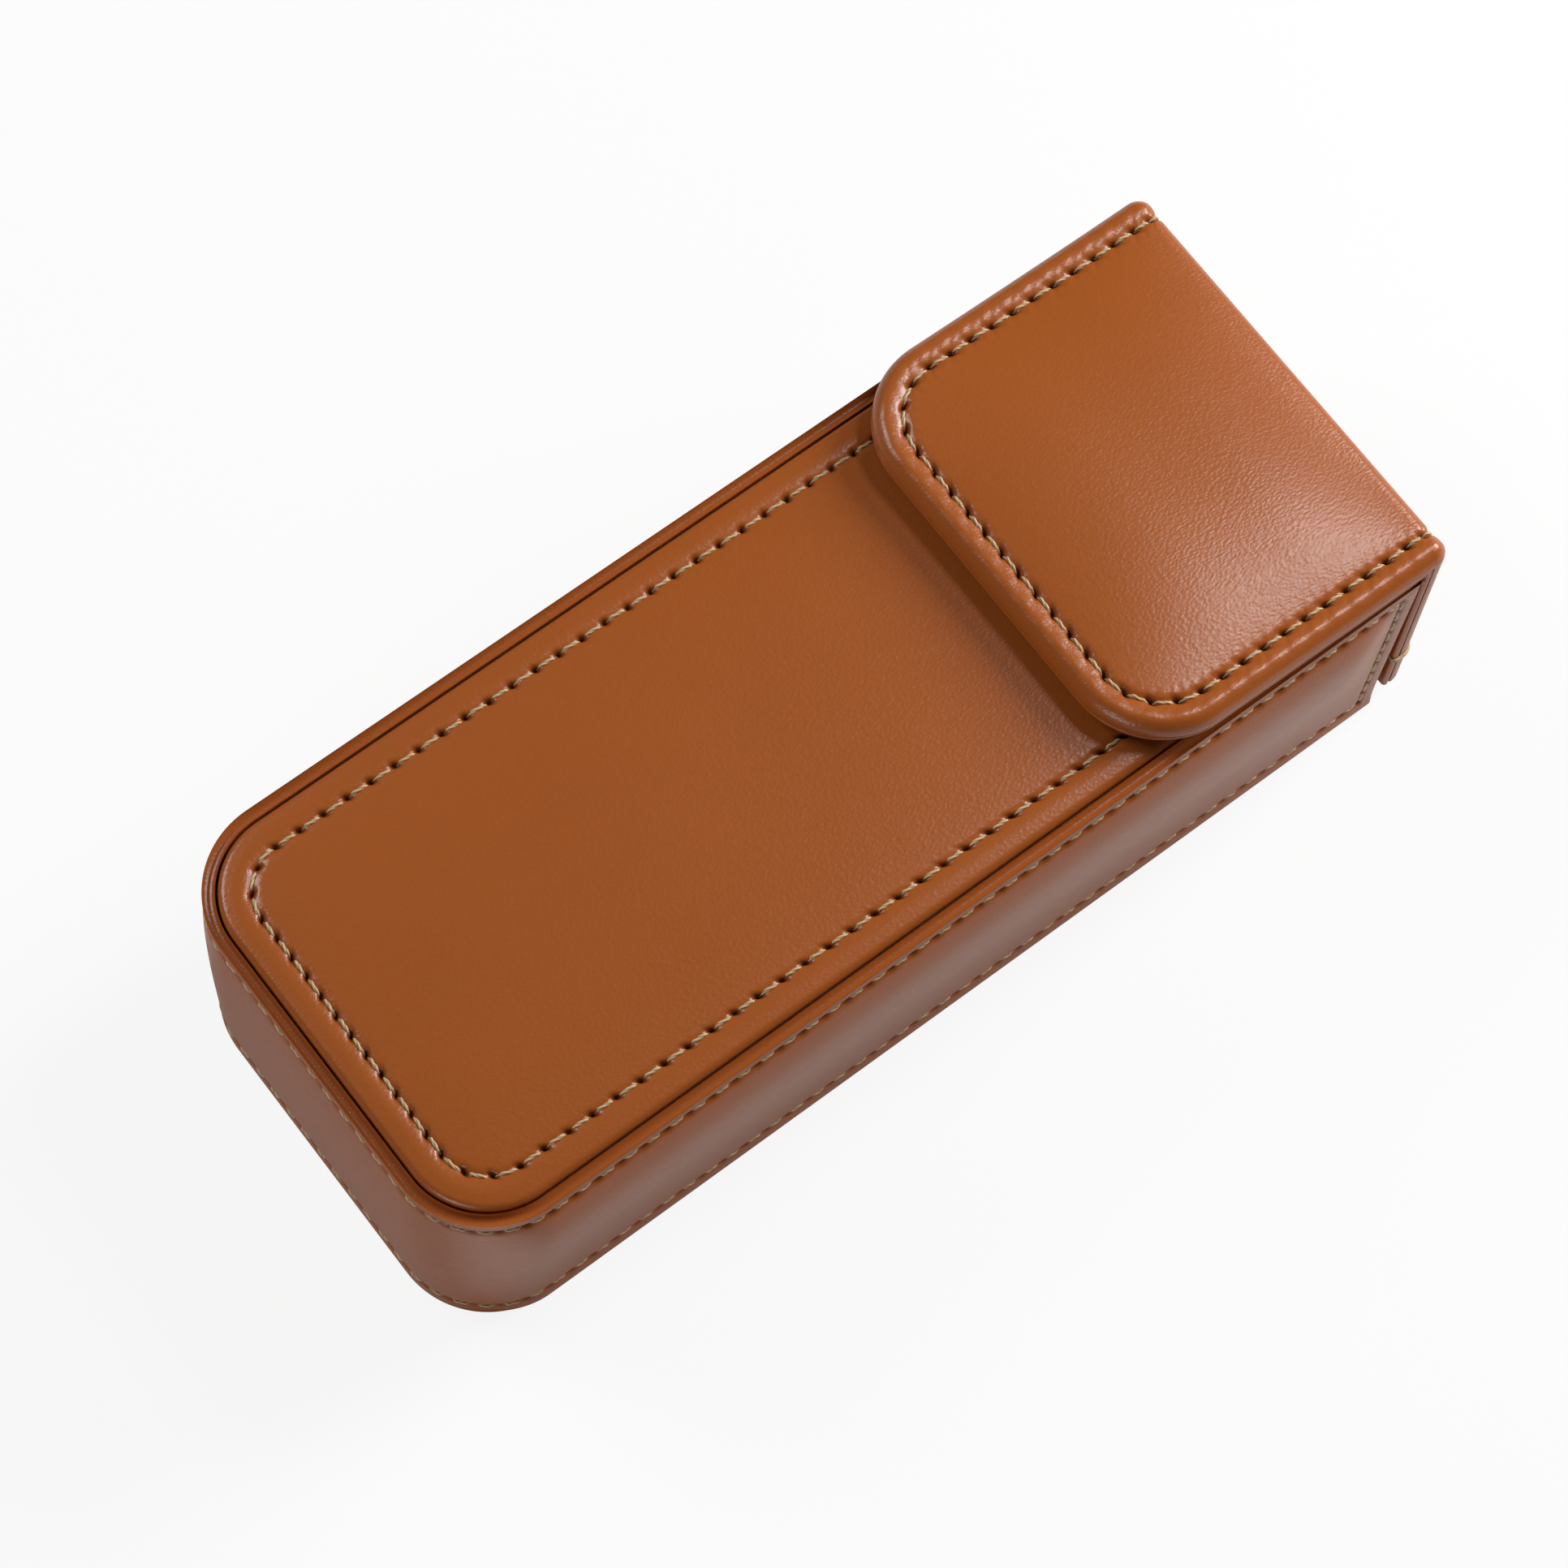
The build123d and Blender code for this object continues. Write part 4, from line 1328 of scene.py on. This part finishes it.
class GLASSESCASE_OT_stiffeners(bpy.types.Operator):
    """Give the boards and the steel disc that stay as packed their materials"""

    bl_idname = "glassescase.stiffeners"
    bl_label = "Boards and catch"

    def execute(self, context):
        colours = context.scene.case_colours
        board, steel = board_material(colours), steel_material(colours)
        for node, material in (
            ("side_board", board),
            ("front_panel_board", board),
            ("back_panel_board", board),
            ("front_magnet", steel),
        ):
            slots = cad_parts[node].data.materials
            slots.clear()
            slots.append(material)
        return {"FINISHED"}


class GLASSESCASE_OT_stage(bpy.types.Operator):
    """Set the table, the soft studio light and the camera"""

    bl_idname = "glassescase.stage"
    bl_label = "Table, light and camera"

    # The camera, in millimetres and degrees: where it stands, what it looks at and how it is turned
    CAMERA_AT = (-174.09, -168.15, 645.1)
    LOOKS_AT = (-9.66, -5.55, 44.0)
    TURNED = 8.4
    SENSOR = 36.0
    IMAGE_SIDE = 1932
    FOCAL_PIXELS = 6000
    LAMP_DISTANCE = 700

    # The table, in millimetres: half its side, and its gap under the case
    TABLE_REACH = 4000
    TABLE_GAP = 0.05

    # Each lamp's bearing and height in degrees, its width and height in millimetres, and its radiance
    LAMPS = {
        "key light": (-8, 28, (320, 340), 14.0),
        "sheen light": (-3, 58, (120, 120), 21.0),
        "left light": (-155, 12, (320, 160), 5.4),
        "back light": (120, 40, (300, 300), 6.6),
    }

    def execute(self, context):
        self.table(context.scene.case_colours)
        self.camera(context.scene)
        self.world(context.scene)
        for name, lamp in self.LAMPS.items():
            self.softbox(name, *lamp)
        return {"FINISHED"}

    def table(self, colours):
        mesh = bpy.data.meshes.new("table")
        reach = self.TABLE_REACH * MM
        corners = [(-reach, -reach, 0), (reach, -reach, 0), (reach, reach, 0), (-reach, reach, 0)]
        mesh.from_pydata(corners, [], [(0, 1, 2, 3)])
        table = bpy.data.objects.new("table", mesh)
        table.location.z = (floor_z - self.TABLE_GAP) * MM
        bpy.context.scene.collection.objects.link(table)
        mesh.materials.append(table_material(colours))

    def camera(self, scene):
        data = bpy.data.cameras.new("camera")
        data.sensor_width = self.SENSOR
        data.sensor_fit = "HORIZONTAL"
        data.lens = self.FOCAL_PIXELS / self.IMAGE_SIDE * self.SENSOR
        data.clip_start, data.clip_end = 0.01, 20
        camera = bpy.data.objects.new("camera", data)
        scene.collection.objects.link(camera)
        place, aim = Vector(self.CAMERA_AT) * MM, Vector(self.LOOKS_AT) * MM
        turn = (aim - place).to_track_quat("-Z", "Y").to_matrix().to_4x4()
        tilt = Matrix.Rotation(math.radians(self.TURNED), 4, "Z")
        camera.matrix_world = Matrix.Translation(place) @ turn @ tilt
        scene.camera = camera
        scene.view_settings.view_transform = "Standard"

    def world(self, scene):
        world = bpy.data.worlds.new("studio")
        scene.world = world
        world.use_nodes = True
        tree = world.node_tree
        tree.nodes.clear()
        output = add(tree, "ShaderNodeOutputWorld")
        direction = add(tree, "ShaderNodeTexCoord").outputs["Generated"]
        height = add(tree, "ShaderNodeSeparateXYZ", {"Vector": direction}).outputs["Z"]
        dim = {"Value": height, "From Min": 0.0, "From Max": 0.9, "To Min": 0.06, "To Max": 0.02}
        shade = add(tree, "ShaderNodeMapRange", dim).outputs["Result"]
        white = 1, 1, 1, 1
        sky = add(tree, "ShaderNodeBackground", {"Color": white, "Strength": shade}).outputs[0]
        # The camera sees a white studio wall. Nothing here is of bare metal or glass, so reflections
        # keep the dim room that the leather is matched to.
        wall = add(tree, "ShaderNodeBackground", {"Color": white, "Strength": 1.0}).outputs[0]
        seen = add(tree, "ShaderNodeLightPath").outputs["Is Camera Ray"]
        both = add(tree, "ShaderNodeMixShader", {"Fac": seen, 1: sky, 2: wall}).outputs["Shader"]
        tree.links.new(both, output.inputs["Surface"])

    def softbox(self, name, azimuth, elevation, size, radiance):
        """A rectangular lamp that faces the case. Radiance 1 looks white."""
        data = bpy.data.lights.new(name, "AREA")
        data.shape = "RECTANGLE"
        data.size, data.size_y = size[0] * MM, size[1] * MM
        data.energy = radiance * math.pi * data.size * data.size_y
        lamp = bpy.data.objects.new(name, data)
        around, up = math.radians(azimuth), math.radians(elevation)
        away = Vector((math.cos(up) * math.cos(around), math.cos(up) * math.sin(around), math.sin(up)))
        lamp.location = away * self.LAMP_DISTANCE * MM + Vector((0, 0, rim_z)) * MM
        lamp.rotation_euler = away.to_track_quat("Z", "Y").to_euler()
        bpy.context.scene.collection.objects.link(lamp)


class GLASSESCASE_PT_panel(bpy.types.Panel):
    """Lists the case's sizes, colours and pieces"""

    bl_idname = "GLASSESCASE_PT_panel"
    bl_label = "Glasses case"
    bl_space_type = "VIEW_3D"
    bl_region_type = "UI"
    bl_category = "Glasses case"

    def draw(self, context):
        layout = self.layout
        for group in (context.scene.case_shape, context.scene.case_seams, context.scene.case_colours):
            box = layout.box()
            for name in group.bl_rna.properties.keys():
                if name not in ("rna_type", "name"):
                    box.prop(group, name)
        for operator in OPERATORS:
            layout.operator(operator.bl_idname)


OPERATORS = (
    GLASSESCASE_OT_wall,
    GLASSESCASE_OT_front_panel,
    GLASSESCASE_OT_back_panel,
    GLASSESCASE_OT_strap,
    GLASSESCASE_OT_linings,
    GLASSESCASE_OT_stiffeners,
    GLASSESCASE_OT_stage,
)
GROUPS = {"case_shape": CaseShape, "case_seams": CaseSeams, "case_colours": CaseColours}


def register():
    for group in GROUPS.values():
        bpy.utils.register_class(group)
    for name, group in GROUPS.items():
        setattr(bpy.types.Scene, name, PointerProperty(type=group))
    for operator in (*OPERATORS, GLASSESCASE_PT_panel):
        bpy.utils.register_class(operator)


def unregister():
    for operator in (GLASSESCASE_PT_panel, *reversed(OPERATORS)):
        bpy.utils.unregister_class(operator)
    for name in GROUPS:
        delattr(bpy.types.Scene, name)
    for group in GROUPS.values():
        bpy.utils.unregister_class(group)


def main():
    """Registers the add-on and makes every piece in order."""
    register()
    for operator in OPERATORS:
        group, name = operator.bl_idname.split(".")
        getattr(getattr(bpy.ops, group), name)()


if __name__ == "__main__":
    main()
